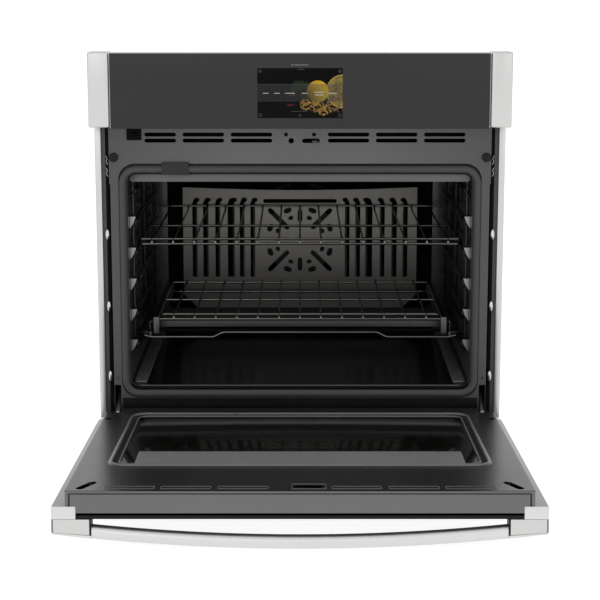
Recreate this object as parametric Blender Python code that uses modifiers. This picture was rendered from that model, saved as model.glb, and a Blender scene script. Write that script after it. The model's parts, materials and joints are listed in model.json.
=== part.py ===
"""Built-in 30-inch electric wall oven with its door open.

X runs to the right, the front faces -Y and +Z is up.  The origin is the
centre of the base pan's underside.  All lengths are in metres.
"""
import math

import bmesh
import bpy
from mathutils import Matrix, Vector

# Overall size
OVERALL_WIDTH = 0.7556
BODY_DEPTH = 0.597
BODY_HALF_WIDTH = 0.360
BODY_TOP = 0.695
PANEL_BOTTOM = 0.598
PANEL_TOP = 0.7325
PANEL_PROUD = 0.054
END_CAP_INNER = 0.3404
SHEET = 0.0015
GAP = 0.0003
FLANGE_Y = -BODY_DEPTH / 2
REAR_Y = BODY_DEPTH / 2

# Oven cavity, measured behind the flange plane
CAVITY_HALF_WIDTH = 0.317
CAVITY_FLOOR = 0.108
CAVITY_CEILING = 0.540
CAVITY_DEPTH = 0.490
OPENING_TOP = 0.507
OPENING_BOTTOM = 0.104
GASKET_OUTER = 0.332
GASKET_BOTTOM = 0.087
GASKET_TOP = 0.5275
FAN_CHAMBER_HALF = 0.2845
FAN_CHAMBER_DEPTH = 0.515
FAN_AXIS_Z = 0.304

# Racks
RACK_LEVELS = [0.190 + 0.0586 * i for i in range(6)]
WIRE = 0.005
WIRE_PITCH = 0.0397
RACK_FRONT = 0.055
RACK_REAR = 0.456

# Door, described closed: "proud" is the distance in front of the flange plane
DOOR_BOTTOM = 0.052
DOOR_TOP = 0.595
DOOR_INNER = 0.010
DOOR_OUTER = 0.054
COLUMN_BACK = 0.034
DOOR_OPEN_ANGLE = math.radians(87)
HINGE_PROUD = 0.020
HINGE_Z = 0.060
HANDLE_BOW = 0.019
HANDLE_REACH = 0.3168

# Mounting screws through the side trims
SCREW_X = 0.3545
SCREW_HEIGHTS = (0.396, 0.261, 0.128)

MODEL = "wall_oven"
CUTTERS = "cutters"


def clear_scene():
    for item in list(bpy.data.objects):
        bpy.data.objects.remove(item, do_unlink=True)
    for name in (MODEL, CUTTERS):
        group = bpy.data.collections.new(name)
        bpy.context.scene.collection.children.link(group)


def make_material(name, colour, roughness, metallic=0.0):
    found = bpy.data.materials.get(name)
    if found:
        return found
    material = bpy.data.materials.new(name)
    material.use_nodes = True
    shader = material.node_tree.nodes["Principled BSDF"]
    shader.inputs["Base Color"].default_value = (*colour, 1.0)
    shader.inputs["Roughness"].default_value = roughness
    shader.inputs["Metallic"].default_value = metallic
    material.diffuse_color = (*colour, 1.0)
    return material


def stainless():
    return make_material("stainless", (0.66, 0.66, 0.65), 0.3, 1.0)


def enamel():
    return make_material("grey_enamel", (0.085, 0.085, 0.085), 0.35)


def dark_enamel():
    return make_material("cavity_enamel", (0.02, 0.02, 0.021), 0.25)


def galvanised():
    return make_material("galvanised_sheet", (0.5, 0.52, 0.53), 0.45, 0.9)


def chrome():
    return make_material("rack_wire", (0.55, 0.55, 0.55), 0.25, 1.0)


def black_glass():
    return make_material("black_glass", (0.03, 0.03, 0.031), 0.08)


def pane_glass():
    return make_material("pane_glass", (0.05, 0.055, 0.05), 0.05)


def black_plastic():
    return make_material("black_plastic", (0.02, 0.02, 0.02), 0.5)


def heater():
    return make_material("heater_sheath", (0.12, 0.11, 0.1), 0.6, 0.6)


def behind(depth):
    """Y of a plane this far behind the flange plane; negative is in front."""
    return FLANGE_Y + depth


def add_box(bm, low, high):
    size = Vector(high) - Vector(low)
    centre = (Vector(high) + Vector(low)) / 2
    matrix = Matrix.Translation(centre) @ Matrix.Diagonal((*size, 1.0))
    return bmesh.ops.create_cube(bm, size=1.0, matrix=matrix)["verts"]


def add_cylinder(bm, centre, radius, length, axis="Z", sides=24, top_radius=None):
    turn = {"X": Matrix.Rotation(math.pi / 2, 4, "Y"), "Z": Matrix.Identity(4),
            "Y": Matrix.Rotation(math.pi / 2, 4, "X")}[axis]
    bmesh.ops.create_cone(
        bm, cap_ends=True, segments=sides, radius1=radius,
        radius2=radius if top_radius is None else top_radius, depth=length,
        matrix=Matrix.Translation(centre) @ turn)


def add_slot(bm, low, high, axis, steps=2):
    """A box whose four edges along one axis are rounded to half its short side."""
    verts = add_box(bm, low, high)
    index = "XYZ".index(axis)
    size = [abs(b - a) for i, (a, b) in enumerate(zip(low, high)) if i != index]
    edges = {edge for vert in verts for edge in vert.link_edges
             if abs((edge.verts[0].co - edge.verts[1].co).normalized()[index]) > 0.9}
    bmesh.ops.bevel(bm, geom=list(edges), offset=min(size) * 0.49, segments=steps,
                    profile=0.5, affect="EDGES")


def to_object(name, bm, material=None, collection=MODEL):
    mesh = bpy.data.meshes.new(name)
    bm.to_mesh(mesh)
    bm.free()
    item = bpy.data.objects.new(name, mesh)
    bpy.data.collections[collection].objects.link(item)
    if material:
        mesh.materials.append(material)
        mesh.shade_smooth()
        mesh.set_sharp_from_angle(angle=math.radians(35))
    if collection == CUTTERS:
        item.hide_render = True
        item.display_type = "WIRE"
    return item


def boxes(name, spans, material=None, collection=MODEL):
    bm = bmesh.new()
    for low, high in spans:
        add_box(bm, low, high)
    return to_object(name, bm, material, collection)


def cut(item, cutter):
    modifier = item.modifiers.new("cut " + cutter.name, "BOOLEAN")
    modifier.operation = "DIFFERENCE"
    modifier.solver = "EXACT"
    modifier.object = cutter
    return item


def join(item, pieces):
    """Weld further pieces on, each a closed solid that overlaps what is there."""
    group = bpy.data.collections.new(item.name + " joined")
    bpy.data.collections[CUTTERS].children.link(group)
    for piece in pieces:
        for owner in list(piece.users_collection):
            owner.objects.unlink(piece)
        group.objects.link(piece)
        piece.hide_render = True
        piece.display_type = "WIRE"
    modifier = item.modifiers.new("join", "BOOLEAN")
    modifier.operation = "UNION"
    modifier.solver = "EXACT"
    modifier.operand_type = "COLLECTION"
    modifier.collection = group
    return item


def cutter_boxes(name, spans):
    return boxes(name, spans, collection=CUTTERS)


def cutter_cylinders(name, specs):
    bm = bmesh.new()
    for centre, radius, length, axis in specs:
        add_cylinder(bm, centre, radius, length, axis, 16)
    return to_object(name, bm, collection=CUTTERS)


def round_edges(item, width, segments=2, angle=40):
    modifier = item.modifiers.new("round", "BEVEL")
    modifier.width = width
    modifier.segments = segments
    modifier.limit_method = "ANGLE"
    modifier.angle_limit = math.radians(angle)
    return item


def tube(name, points, radius, material=None, resolution=1, closed=False):
    """A rod along the points, turned into a mesh so that it can be joined or cut."""
    curve = bpy.data.curves.new(name, "CURVE")
    curve.dimensions = "3D"
    curve.bevel_depth = radius
    curve.bevel_resolution = resolution
    curve.use_fill_caps = not closed
    spline = curve.splines.new("POLY")
    spline.points.add(len(points) - 1)
    for place, point in zip(spline.points, points):
        place.co = (*point, 1.0)
    spline.use_cyclic_u = closed
    guide = bpy.data.objects.new(name + " guide", curve)
    bpy.context.scene.collection.objects.link(guide)
    bpy.context.view_layer.update()
    mesh = bpy.data.meshes.new_from_object(
        guide.evaluated_get(bpy.context.evaluated_depsgraph_get()))
    bpy.data.objects.remove(guide)
    bm = bmesh.new()
    bm.from_mesh(mesh)
    bmesh.ops.remove_doubles(bm, verts=bm.verts, dist=0.00005)
    bmesh.ops.recalc_face_normals(bm, faces=bm.faces)
    bpy.data.meshes.remove(mesh)
    return to_object(name, bm, material)


def rounded_outline(half_width, low, high, radius, steps=5):
    """Points round a rectangle with arcs at its corners, as (x, z) pairs."""
    corners = [(half_width - radius, high - radius, 0), (radius - half_width, high - radius, 90),
               (radius - half_width, low + radius, 180), (half_width - radius, low + radius, 270)]
    points = []
    for x, z, start in corners:
        for step in range(steps + 1):
            angle = math.radians(start + 90 * step / steps)
            points.append((x + radius * math.cos(angle), z + radius * math.sin(angle)))
    return points


def slab(name, outline, low, high, axis, material=None, collection=MODEL):
    """An outline in the plane across an axis, filled and extruded along it."""
    bm = bmesh.new()
    place = {"Y": lambda u, v: (u, low, v), "X": lambda u, v: (low, u, v),
             "Z": lambda u, v: (u, v, low)}[axis]
    face = bm.faces.new([bm.verts.new(place(u, v)) for u, v in outline])
    moved = bmesh.ops.extrude_face_region(bm, geom=[face])["geom"]
    shift = {"X": (high - low, 0, 0), "Y": (0, high - low, 0), "Z": (0, 0, high - low)}[axis]
    bmesh.ops.translate(bm, verts=[v for v in moved if isinstance(v, bmesh.types.BMVert)],
                        vec=shift)
    bmesh.ops.recalc_face_normals(bm, faces=bm.faces)
    return to_object(name, bm, material, collection)


def folded_sheet(name, path, start, end, axis, material):
    """Sheet metal: a bent line in the plane across an axis, swept along it."""
    bm = bmesh.new()
    place = {"X": lambda u, v: (start, u, v), "Y": lambda u, v: (u, start, v),
             "Z": lambda u, v: (u, v, start)}[axis]
    verts = [bm.verts.new(place(u, v)) for u, v in path]
    edges = [bm.edges.new(pair) for pair in zip(verts, verts[1:])]
    swept = bmesh.ops.extrude_edge_only(bm, edges=edges)["geom"]
    length = end - start
    shift = {"X": (length, 0, 0), "Y": (0, length, 0), "Z": (0, 0, length)}[axis]
    bmesh.ops.translate(bm, verts=[v for v in swept if isinstance(v, bmesh.types.BMVert)],
                        vec=shift)
    bmesh.ops.recalc_face_normals(bm, faces=bm.faces)
    item = to_object(name, bm, material)
    thicken = item.modifiers.new("sheet", "SOLIDIFY")
    thicken.thickness = SHEET
    thicken.offset = 0.0
    thicken.use_even_offset = True
    return item


def sided(side, near, far):
    """A span in X, mirrored for the left side."""
    return (near, far) if side > 0 else (-far, -near)


def side_name(side):
    return "right" if side > 0 else "left"


# Outer case


def make_case():
    reach = BODY_HALF_WIDTH - 0.0027
    lip = 0.022
    folded_sheet("base_pan", [(-reach, lip), (-reach, SHEET / 2), (reach, SHEET / 2), (reach, lip)],
                 behind(0.004), REAR_Y - 0.004, "Y", galvanised())
    for side in (-1, 1):
        wall = side * (BODY_HALF_WIDTH - SHEET / 2)
        back = REAR_Y - SHEET / 2
        path = [(wall, behind(0.002)), (wall, back), (wall - side * 0.018, back)]
        folded_sheet("side_panel_" + side_name(side), path, 0.0005, BODY_TOP - 0.0035, "Z",
                     galvanised())
    top = BODY_TOP - 0.0022
    folded_sheet("top_panel", [(behind(0.003), top - 0.012), (behind(0.003), top), (REAR_Y, top)],
                 -BODY_HALF_WIDTH + 0.002, BODY_HALF_WIDTH - 0.002, "X", galvanised())
    make_rear_panel()


def make_rear_panel():
    front = REAR_Y - 0.0035
    panel = boxes("rear_panel", [((-0.357, front, 0.003), (0.357, front + SHEET, BODY_TOP - 0.004))],
                  galvanised())
    bm = bmesh.new()
    for row in range(3):
        for column in range(6):
            x = (column - 2.5) * 0.08
            z = 0.62 + row * 0.022
            add_box(bm, (x - 0.03, front - 0.01, z), (x + 0.03, front + 0.01, z + 0.008))
    add_cylinder(bm, (0.3, front, 0.64), 0.0143, 0.02, "Y", 16)
    cut(panel, to_object("rear openings", bm, collection=CUTTERS))


def make_conduit_gland():
    front = REAR_Y - 0.0035
    bm = bmesh.new()
    add_cylinder(bm, (0.3, front - 0.006, 0.64), 0.019, 0.0114, "Y", 16)
    gland = to_object("conduit_gland", bm, galvanised())
    neck = bmesh.new()
    add_cylinder(neck, (0.3, front - 0.002, 0.64), 0.014, 0.0108, "Y", 16)
    join(gland, [to_object("gland neck", neck, galvanised())])
    cut(gland, cutter_cylinders("gland bore", [((0.3, front, 0.64), 0.0105, 0.05, "Y")]))


def make_insulation():
    wrap = boxes("insulation_wrap", [((-0.350, behind(0.032), 0.062), (0.350, behind(0.542), 0.575))],
                 make_material("glass_wool", (0.62, 0.58, 0.45), 0.9))
    inner = [((-0.3215, behind(0.0), 0.089), (0.3215, behind(0.519), 0.546))]
    cut(wrap, cutter_boxes("insulation hollow", inner))
    holes = [((0, behind(0.53), FAN_AXIS_Z), 0.042, 0.06, "Y"),
             ((-0.15, behind(0.53), 0.500), 0.008, 0.06, "Y"),
             ((-0.27, behind(0.43), 0.56), 0.034, 0.06, "Z")]
    cut(wrap, cutter_cylinders("insulation holes", holes))


# Front


def make_front_frame():
    face, back = behind(-0.003), behind(-0.0015)
    frame = boxes("front_frame", [((-0.3487, face, 0.050), (0.3487, back, 0.596))], enamel())
    low, high = face - 0.02, back + 0.02
    outline = rounded_outline(GASKET_OUTER, GASKET_BOTTOM, GASKET_TOP, 0.030)
    cut(frame, slab("oven opening", outline, low, high, "Y", collection=CUTTERS))
    bm = bmesh.new()
    columns = [(0.0505, 0.126), (0.138, 0.2135), (0.2255, 0.301)]
    for left, right in columns:
        for z in (0.5808, 0.5698):
            add_slot(bm, (left, low, z - 0.0036), (right, high, z + 0.0036), "Y")
            far = 0.283 if right > 0.3 else right
            add_slot(bm, (-far, low, z - 0.0036), (-left, high, z + 0.0036), "Y")
    add_slot(bm, (0.004, low, 0.5655), (0.036, high, 0.5735), "Y")
    add_cylinder(bm, (-0.016, face, 0.5695), 0.005, 0.04, "Y", 12)
    add_box(bm, (-0.3155, low, 0.5705), (-0.2885, high, 0.5925))
    for side in (-1, 1):
        near, far = sided(side, 0.3345, 0.3475)
        add_box(bm, (near, low, 0.0575), (far, high, 0.111))
    cut(frame, to_object("frame openings", bm, collection=CUTTERS))
    reliefs = [((near, low, 0.04), (far, high, 0.490))
               for near, far in (sided(side, 0.347, 0.36) for side in (-1, 1))]
    cut(frame, cutter_boxes("frame side steps", reliefs))


def make_gasket():
    """A braided tube lying in the groove between the frame and the liner's flange."""
    half = (GASKET_OUTER + 0.3174) / 2
    outline = rounded_outline(half, (GASKET_BOTTOM + OPENING_BOTTOM) / 2,
                              (GASKET_TOP + OPENING_TOP) / 2, 0.024, 4)
    ring = [(x, behind(-0.0030), z) for x, z in outline]
    tube("door_gasket", ring, 0.0065,
         make_material("gasket_braid", (0.05, 0.05, 0.05), 0.8), 1, True)


def make_side_parts(side):
    name = side_name(side)
    near, far = sided(side, 0.3493, 0.3768)
    trim = boxes("mounting_trim_" + name,
                 [((near, behind(-SHEET), 0.047), (far, behind(0), 0.597))],
                 make_material("black_paint", (0.02, 0.02, 0.02), 0.45))
    specs = [((side * SCREW_X, behind(0), z), 0.0033, 0.02, "Y") for z in SCREW_HEIGHTS]
    cut(trim, cutter_cylinders("screw holes " + name, specs))
    near, far = sided(side, 0.3480, BODY_HALF_WIDTH + 0.0008)
    cut(trim, cutter_boxes("flange step " + name,
                           [((near, behind(-GAP), 0.040), (far, behind(0.01), 0.605))]))
    near, far = sided(side, 0.3623, 0.3736)
    strip = boxes("side_trim_" + name,
                  [((near, behind(-0.0062), 0.049), (far, behind(-0.0018), 0.5972))], stainless())
    round_edges(strip, 0.0008, 1)
    bm = bmesh.new()
    add_cylinder(bm, (side * 0.340, behind(-0.006), 0.539), 0.0084, 0.0052, "Y", 20)
    round_edges(to_object("door_bumper_" + name, bm, black_plastic()), 0.001, 1)


def make_lower_trim():
    low, high = 0.004, 0.0455
    path = [(behind(-0.0012), high), (behind(-0.0092), high), (behind(-0.0092), low),
            (behind(-0.0012), low)]
    trim = folded_sheet("lower_trim", path, -0.3765, 0.3765, "X", stainless())
    bm = bmesh.new()
    for column in range(7):
        x = (column - 3) * 0.09
        add_slot(bm, (x - 0.034, behind(-0.03), 0.021), (x + 0.034, behind(-0.004), 0.029), "Y")
    cut(trim, to_object("lower trim slots", bm, collection=CUTTERS))


def make_control_panel():
    depth_low, depth_high = behind(-0.0486), behind(-0.0003)
    housing = boxes("panel_housing", [((-0.3398, depth_low, 0.5975), (0.3398, depth_high, 0.7300))],
                    galvanised())
    cut(housing, cutter_boxes("panel hollow", [((-0.3383, behind(-0.07), 0.5990),
                                                (0.3383, behind(-0.0018), 0.7285))]))
    glass = slab("control_glass", rounded_outline(0.338, 0.5965, 0.7305, 0.002, 2),
                 behind(-0.0532), behind(-0.0490), "Y", black_glass())
    round_edges(glass, 0.0006, 1)
    display = boxes("display_module", [((-0.081, behind(-0.0486), 0.612),
                                        (0.081, behind(-0.040), 0.709))], black_plastic())
    board = [((-0.130, behind(-0.0345), 0.622), (0.130, behind(-0.0330), 0.700)),
             ((-0.110, behind(-0.0335), 0.640), (-0.070, behind(-0.0250), 0.670)),
             ((0.030, behind(-0.0335), 0.650), (0.060, behind(-0.0260), 0.680)),
             ((-0.030, behind(-0.0405), 0.630), (0.030, behind(-0.0340), 0.660))]
    join(display, [boxes("display board %d" % i, [span]) for i, span in enumerate(board)])
    for side in (-1, 1):
        make_end_cap(side)


def make_end_cap(side):
    low, high = sided(side, END_CAP_INNER, OVERALL_WIDTH / 2)
    cap = boxes("end_cap_" + side_name(side),
                [((low, behind(-PANEL_PROUD), PANEL_BOTTOM), (high, behind(-0.0018), PANEL_TOP))],
                stainless())
    round_edges(cap, 0.003, 2)
    near, far = sided(side, END_CAP_INNER + SHEET, OVERALL_WIDTH / 2 - SHEET)
    cut(cap, cutter_boxes("cap hollow " + side_name(side),
                          [((near, behind(-PANEL_PROUD + SHEET), PANEL_BOTTOM + SHEET),
                            (far, behind(0.02), PANEL_TOP - SHEET))]))


# Cavity


def make_liner():
    wall = SHEET
    half, floor, ceiling = CAVITY_HALF_WIDTH, CAVITY_FLOOR, CAVITY_CEILING
    liner = boxes("cavity_liner", [((-half - wall, behind(0.0045), floor - wall),
                                    (half + wall, behind(CAVITY_DEPTH + wall), ceiling + wall))],
                  dark_enamel())
    chamber = boxes("fan chamber", [((-FAN_CHAMBER_HALF - wall, behind(0.3), 0.150 - wall),
                                     (FAN_CHAMBER_HALF + wall, behind(FAN_CHAMBER_DEPTH + wall), 0.4365))])
    flange = boxes("liner flange", [((-0.3365, behind(0.0040), 0.0825), (0.3365, behind(0.0055), 0.5555))])
    join(liner, [chamber, flange])
    hollow = cutter_boxes("liner hollow", [((-half, behind(0.0055), floor),
                                            (half, behind(CAVITY_DEPTH), ceiling))])
    deep = boxes("chamber hollow", [((-FAN_CHAMBER_HALF, behind(0.2), 0.150),
                                     (FAN_CHAMBER_HALF, behind(FAN_CHAMBER_DEPTH), 0.435))])
    mouth = slab("liner mouth", rounded_outline(0.3165, OPENING_BOTTOM + 0.0045, OPENING_TOP, 0.018),
                 behind(-0.02), behind(0.02), "Y")
    join(hollow, [deep, mouth])
    cut(liner, hollow)
    bars = [((-half - 0.0005, behind(0.016), 0.4917), (half + 0.0005, behind(0.0175), ceiling + 0.0005)),
            ((-half - 0.0005, behind(0.022), floor - 0.0005), (-0.289, behind(0.4905), floor + 0.004)),
            ((0.289, behind(0.022), floor - 0.0005), (half + 0.0005, behind(0.4905), floor + 0.004))]
    join(liner, [boxes("liner bar %d" % i, [span]) for i, span in enumerate(bars)])
    holes = [((0, behind(0.515), FAN_AXIS_Z), 0.0075, 0.06, "Y"),
             ((-0.15, behind(0.49), 0.500), 0.0045, 0.06, "Y"),
             ((-0.27, behind(0.43), 0.54), 0.0265, 0.06, "Z"),
             ((0.10, behind(0.49), 0.523), 0.0045, 0.06, "Y"),
             ((0.14, behind(0.49), 0.523), 0.0045, 0.06, "Y"),
             ((0.119, behind(0.515), FAN_AXIS_Z), 0.0045, 0.06, "Y")]
    cut(liner, cutter_cylinders("liner holes", holes))


def make_baffle():
    """Fan cover: a plate with a curved top, tall slots and a star grille."""
    half, bottom, shoulder, dip = 0.251, 0.155, 0.418, 0.006
    front = behind(0.462)
    arc = [(half - 2 * half * i / 12, shoulder - dip * math.sin(math.pi * i / 12)) for i in range(13)]
    corner = 0.03
    foot = [(-half, bottom + corner), (corner - half, bottom), (half - corner, bottom),
            (half, bottom + corner)]
    plate = slab("rear_baffle", arc + foot, front, front + SHEET, "Y", enamel())
    feet = []
    for x in (-0.235, 0.235):
        for z in (0.20, 0.36):
            bm = bmesh.new()
            add_cylinder(bm, (x, behind(0.4882), z), 0.005, 0.0518, "Y", 8)
            feet.append(to_object("baffle foot", bm))
    join(plate, feet)
    bm = bmesh.new()
    reach = 0.015
    low, high = front - reach, front + SHEET + reach / 2
    for x, width in ((0.2023, 0.008), (0.1767, 0.008), (0.1478, 0.014), (0.1241, 0.008)):
        for side in (-1, 1):
            near, far = sided(side, x - width / 2, x + width / 2)
            add_box(bm, (near, low, 0.223), (far, high, 0.391))
    for turn in range(8):
        angle = math.radians(turn * 45)
        start, end, width = (0.034, 0.094, 0.0085) if turn % 2 else (0.038, 0.068, 0.0085)
        before = len(bm.verts)
        add_box(bm, (start, low, -width / 2), (end, high, width / 2))
        bm.verts.ensure_lookup_table()
        bmesh.ops.rotate(bm, verts=bm.verts[before:], cent=(0, 0, 0),
                         matrix=Matrix.Rotation(angle, 3, "Y"))
        bmesh.ops.translate(bm, verts=bm.verts[before:], vec=(0, 0, FAN_AXIS_Z))
    cut(plate, to_object("baffle openings", bm, collection=CUTTERS))


def make_rack_support(side):
    low, high = behind(0.032), behind(0.455)
    name = side_name(side)
    near, far = sided(side, 0.3095, 0.3145)
    front = boxes("rack_support_" + name, [((near, behind(0.046), 0.165), (far, behind(0.051), 0.500))],
                  chrome())
    rear = [((near + 0.0002, behind(0.440), 0.166), (far - 0.0002, behind(0.445), 0.499))]
    pieces = [boxes("rear upright " + name, rear)]
    near, far = sided(side, 0.2995, 0.3125)
    for index, level in enumerate(RACK_LEVELS):
        span = [((near, low, level - WIRE), (far, high, level))]
        pieces.append(boxes("rung %s %d" % (name, index), span))
    pegs = [((0.3130, 0.3167), behind(0.048)), ((0.3130, 0.3167), behind(0.4425))]
    for index, (span, y) in enumerate(pegs):
        near, far = sided(side, *span)
        for z in (0.22, 0.455):
            pieces.append(boxes("peg %s" % name, [((near, y - 0.0015, z), (far, y + 0.0015, z + 0.006))]))
    join(front, pieces)


def element_path(half, start, end, z, runs):
    """A heater's back-and-forth route with its two legs ending at the rear."""
    points = []
    for run in range(runs):
        x = -half + 2 * half * run / (runs - 1)
        ends = [behind(start), behind(end)]
        if run % 2 == 0:
            ends.reverse()
        points.extend((x, y, z) for y in ends)
    return points


def make_elements():
    start, end, z, half = 0.05, 0.42, 0.523, 0.22
    rear, wall = behind(0.455), behind(0.4855)
    route = [(-0.14, wall, z), (-0.14, rear, z), (-half, rear, z)]
    route += element_path(half, start, end, z, 6)[1:]
    route += [(half, rear, z), (0.10, rear, z), (0.10, wall, z)]
    tube("broil_element", route, 0.0035, heater())
    lower = element_path(0.25, 0.06, 0.44, 0.0965, 6)
    tube("bake_element", lower, 0.0035, heater())
    radius, steps = 0.119, 24
    ring = []
    for step in range(steps + 1):
        angle = math.radians(100 + 340 * step / steps)
        ring.append((radius * math.cos(angle), wall, FAN_AXIS_Z + radius * math.sin(angle)))
    tube("convection_element", ring, 0.0042, heater())


def make_sensor_and_lamp():
    bm = bmesh.new()
    add_cylinder(bm, (-0.15, behind(0.455), 0.500), 0.0035, 0.12, "Y", 12)
    sensor = to_object("temperature_sensor", bm, stainless())
    join(sensor, [boxes("sensor plate", [((-0.168, behind(0.4865), 0.489),
                                          (-0.132, behind(0.4885), 0.511))])])
    bm = bmesh.new()
    add_cylinder(bm, (-0.27, behind(0.43), 0.555), 0.026, 0.028, "Z", 20)
    holder = to_object("lamp_holder", bm, galvanised())
    cut(holder, cutter_cylinders("lamp well", [((-0.27, behind(0.43), 0.543), 0.0235, 0.03, "Z")]))
    bm = bmesh.new()
    add_cylinder(bm, (-0.27, behind(0.43), 0.5365), 0.029, 0.006, "Z", 24, 0.029)
    round_edges(to_object("lamp_lens", bm, make_material("lamp_lens", (0.8, 0.8, 0.76), 0.1)), 0.0015, 1)


def make_convection_fan():
    centre_y = behind(0.486)
    bm = bmesh.new()
    add_cylinder(bm, (0, behind(0.4965), FAN_AXIS_Z), 0.078, 0.0016, "Y", 32)
    fan = to_object("convection_fan", bm, galvanised())
    pieces = []
    blades = 8
    for index in range(blades):
        angle = 2 * math.pi * index / blades
        blade = boxes("fan blade", [((0.030, behind(0.4755), -0.0008), (0.073, behind(0.4965), 0.0008))])
        turn = Matrix.Translation((0, 0, FAN_AXIS_Z)) @ Matrix.Rotation(angle, 4, "Y")
        blade.data.transform(turn @ Matrix.Translation((0.004, 0, 0.012)))
        pieces.append(blade)
    shaft = bmesh.new()
    add_cylinder(shaft, (0, behind(0.5065), FAN_AXIS_Z), 0.005, 0.042, "Y", 12)
    pieces.append(to_object("fan shaft", shaft))
    hub = bmesh.new()
    add_cylinder(hub, (0, centre_y, FAN_AXIS_Z), 0.011, 0.020, "Y", 12)
    pieces.append(to_object("fan hub", hub))
    join(fan, pieces)
    bm = bmesh.new()
    add_cylinder(bm, (0, behind(0.5575), FAN_AXIS_Z), 0.038, 0.055, "Y", 24)
    motor = to_object("fan_motor", bm, make_material("motor_steel", (0.2, 0.2, 0.21), 0.5, 0.7))
    bracket = boxes("fan motor bracket", [((-0.060, behind(0.5435), FAN_AXIS_Z - 0.010),
                                           (0.060, behind(0.5455), FAN_AXIS_Z + 0.010))])
    join(motor, [bracket])
    recess = [((0, behind(0.52), FAN_AXIS_Z), 0.0075, 0.032, "Y")]
    cut(motor, cutter_cylinders("motor bearing recess", recess))


# Racks


def wire_across(z, depth, half, name="wire"):
    return boxes(name, [((-half, behind(depth) - WIRE / 2, z - WIRE / 2),
                         (half, behind(depth) + WIRE / 2, z + WIRE / 2))])


def grid_wires(count, z, front, rear):
    wires = []
    for index in range(count):
        x = (index - (count - 1) / 2) * WIRE_PITCH
        wires.append(boxes("grid wire %d" % index, [((x - 0.0019, behind(front), z - 0.0019),
                                                    (x + 0.0019, behind(rear), z + 0.0019))]))
    return wires


def make_upper_rack():
    level = RACK_LEVELS[3]
    base = level + GAP + WIRE / 2
    rack = wire_across(base, RACK_FRONT, 0.3068, "upper_rack")
    rack.data.materials.append(chrome())
    pieces = [wire_across(base, 0.26, 0.3050), wire_across(base, RACK_REAR, 0.3066),
              wire_across(base + 0.0095, RACK_FRONT - 0.001, 0.3046),
              wire_across(base + 0.0108, RACK_REAR - 0.0008, 0.3046)]
    for side in (-1, 1):
        near, far = sided(side, 0.3018, 0.3064)
        pieces.append(boxes("side wire", [((near, behind(RACK_FRONT - 0.002), base - 0.0023),
                                           (far, behind(RACK_REAR + 0.002), base + 0.0023))]))
        near, far = sided(side, 0.3020, 0.3060)
        pieces.append(boxes("front post", [((near, behind(RACK_FRONT - 0.003), base),
                                            (far, behind(RACK_FRONT + 0.001), base + 0.0118))]))
        near, far = sided(side, 0.3005, 0.3043)
        pieces.append(boxes("stop post", [((near, behind(RACK_REAR - 0.002), base),
                                           (far, behind(RACK_REAR + 0.0019), base + 0.0128))]))
    pieces += grid_wires(15, base + 0.0040, RACK_FRONT - 0.0005, RACK_REAR - 0.0005)
    join(rack, pieces)


def make_glide_rack():
    floor = RACK_LEVELS[0] + GAP
    base = floor + WIRE / 2
    lift = [(-0.3140, base), (-0.162, base), (-0.147, base + 0.009), (0.147, base + 0.009),
            (0.162, base), (0.3140, base)]
    frame = tube("glide_rack_base", [(x, behind(0.040), z) for x, z in lift], 0.0023, chrome())
    pieces = [wire_across(base, 0.452, 0.3135)]
    for side in (-1, 1):
        near, far = sided(side, 0.3010, 0.3056)
        pieces.append(boxes("base side", [((near, behind(0.0385), base - 0.0021),
                                           (far, behind(0.4535), base + 0.0021))]))
        near, far = sided(side, 0.2792, 0.2850)
        pieces.append(boxes("outer channel", [((near, behind(0.060), base + 0.001),
                                               (far, behind(0.4528), base + 0.026))]))
        near, far = sided(side, 0.2840, 0.3040)
        for depth in (0.080, 0.400):
            pieces.append(boxes("channel link", [((near, behind(depth), base - 0.0015),
                                                  (far, behind(depth + 0.008), base + 0.0015))]))
        near, far = sided(side, 0.2800, 0.2842)
        pieces.append(boxes("channel nose", [((near, behind(0.0385), base - 0.0012),
                                              (far, behind(0.0620), base + 0.0100))]))
    strip = boxes("cross strip", [((-0.2830, behind(0.0700), base + 0.0030),
                                   (0.2830, behind(0.0715), base + 0.0085))])
    pieces.append(strip)
    join(frame, pieces)
    for side in (-1, 1):
        near, far = sided(side, 0.2730, 0.2787)
        boxes("glide_member_" + side_name(side),
              [((near, behind(0.060), base + 0.0095), (far, behind(0.440), base + 0.0245))],
              stainless())
    make_glide_top(base)


def make_glide_top(base):
    top = base + 0.0385
    rack = wire_across(top - 0.006, 0.050, 0.2700, "glide_rack_top")
    rack.data.materials.append(chrome())
    pieces = [wire_across(top - 0.006, 0.220, 0.2690), wire_across(top - 0.006, 0.392, 0.2692),
              wire_across(top + 0.0035, 0.0492, 0.2610)]
    for side in (-1, 1):
        near, far = sided(side, 0.2660, 0.2725)
        pieces.append(boxes("inner channel", [((near, behind(0.0525), base + 0.0120),
                                               (far, behind(0.400), top - 0.0045))]))
        near, far = sided(side, 0.2655, 0.2722)
        pieces.append(boxes("end plate", [((near, behind(0.0460), base + 0.0060),
                                           (far, behind(0.0520), top + 0.0020))]))
        near, far = sided(side, 0.2565, 0.2605)
        pieces.append(boxes("front post", [((near, behind(0.0475), top - 0.0065),
                                            (far, behind(0.0512), top + 0.0040))]))
    pieces += grid_wires(13, top - 0.0020, 0.0496, 0.3915)
    join(rack, pieces)


# Top compartment


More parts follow.
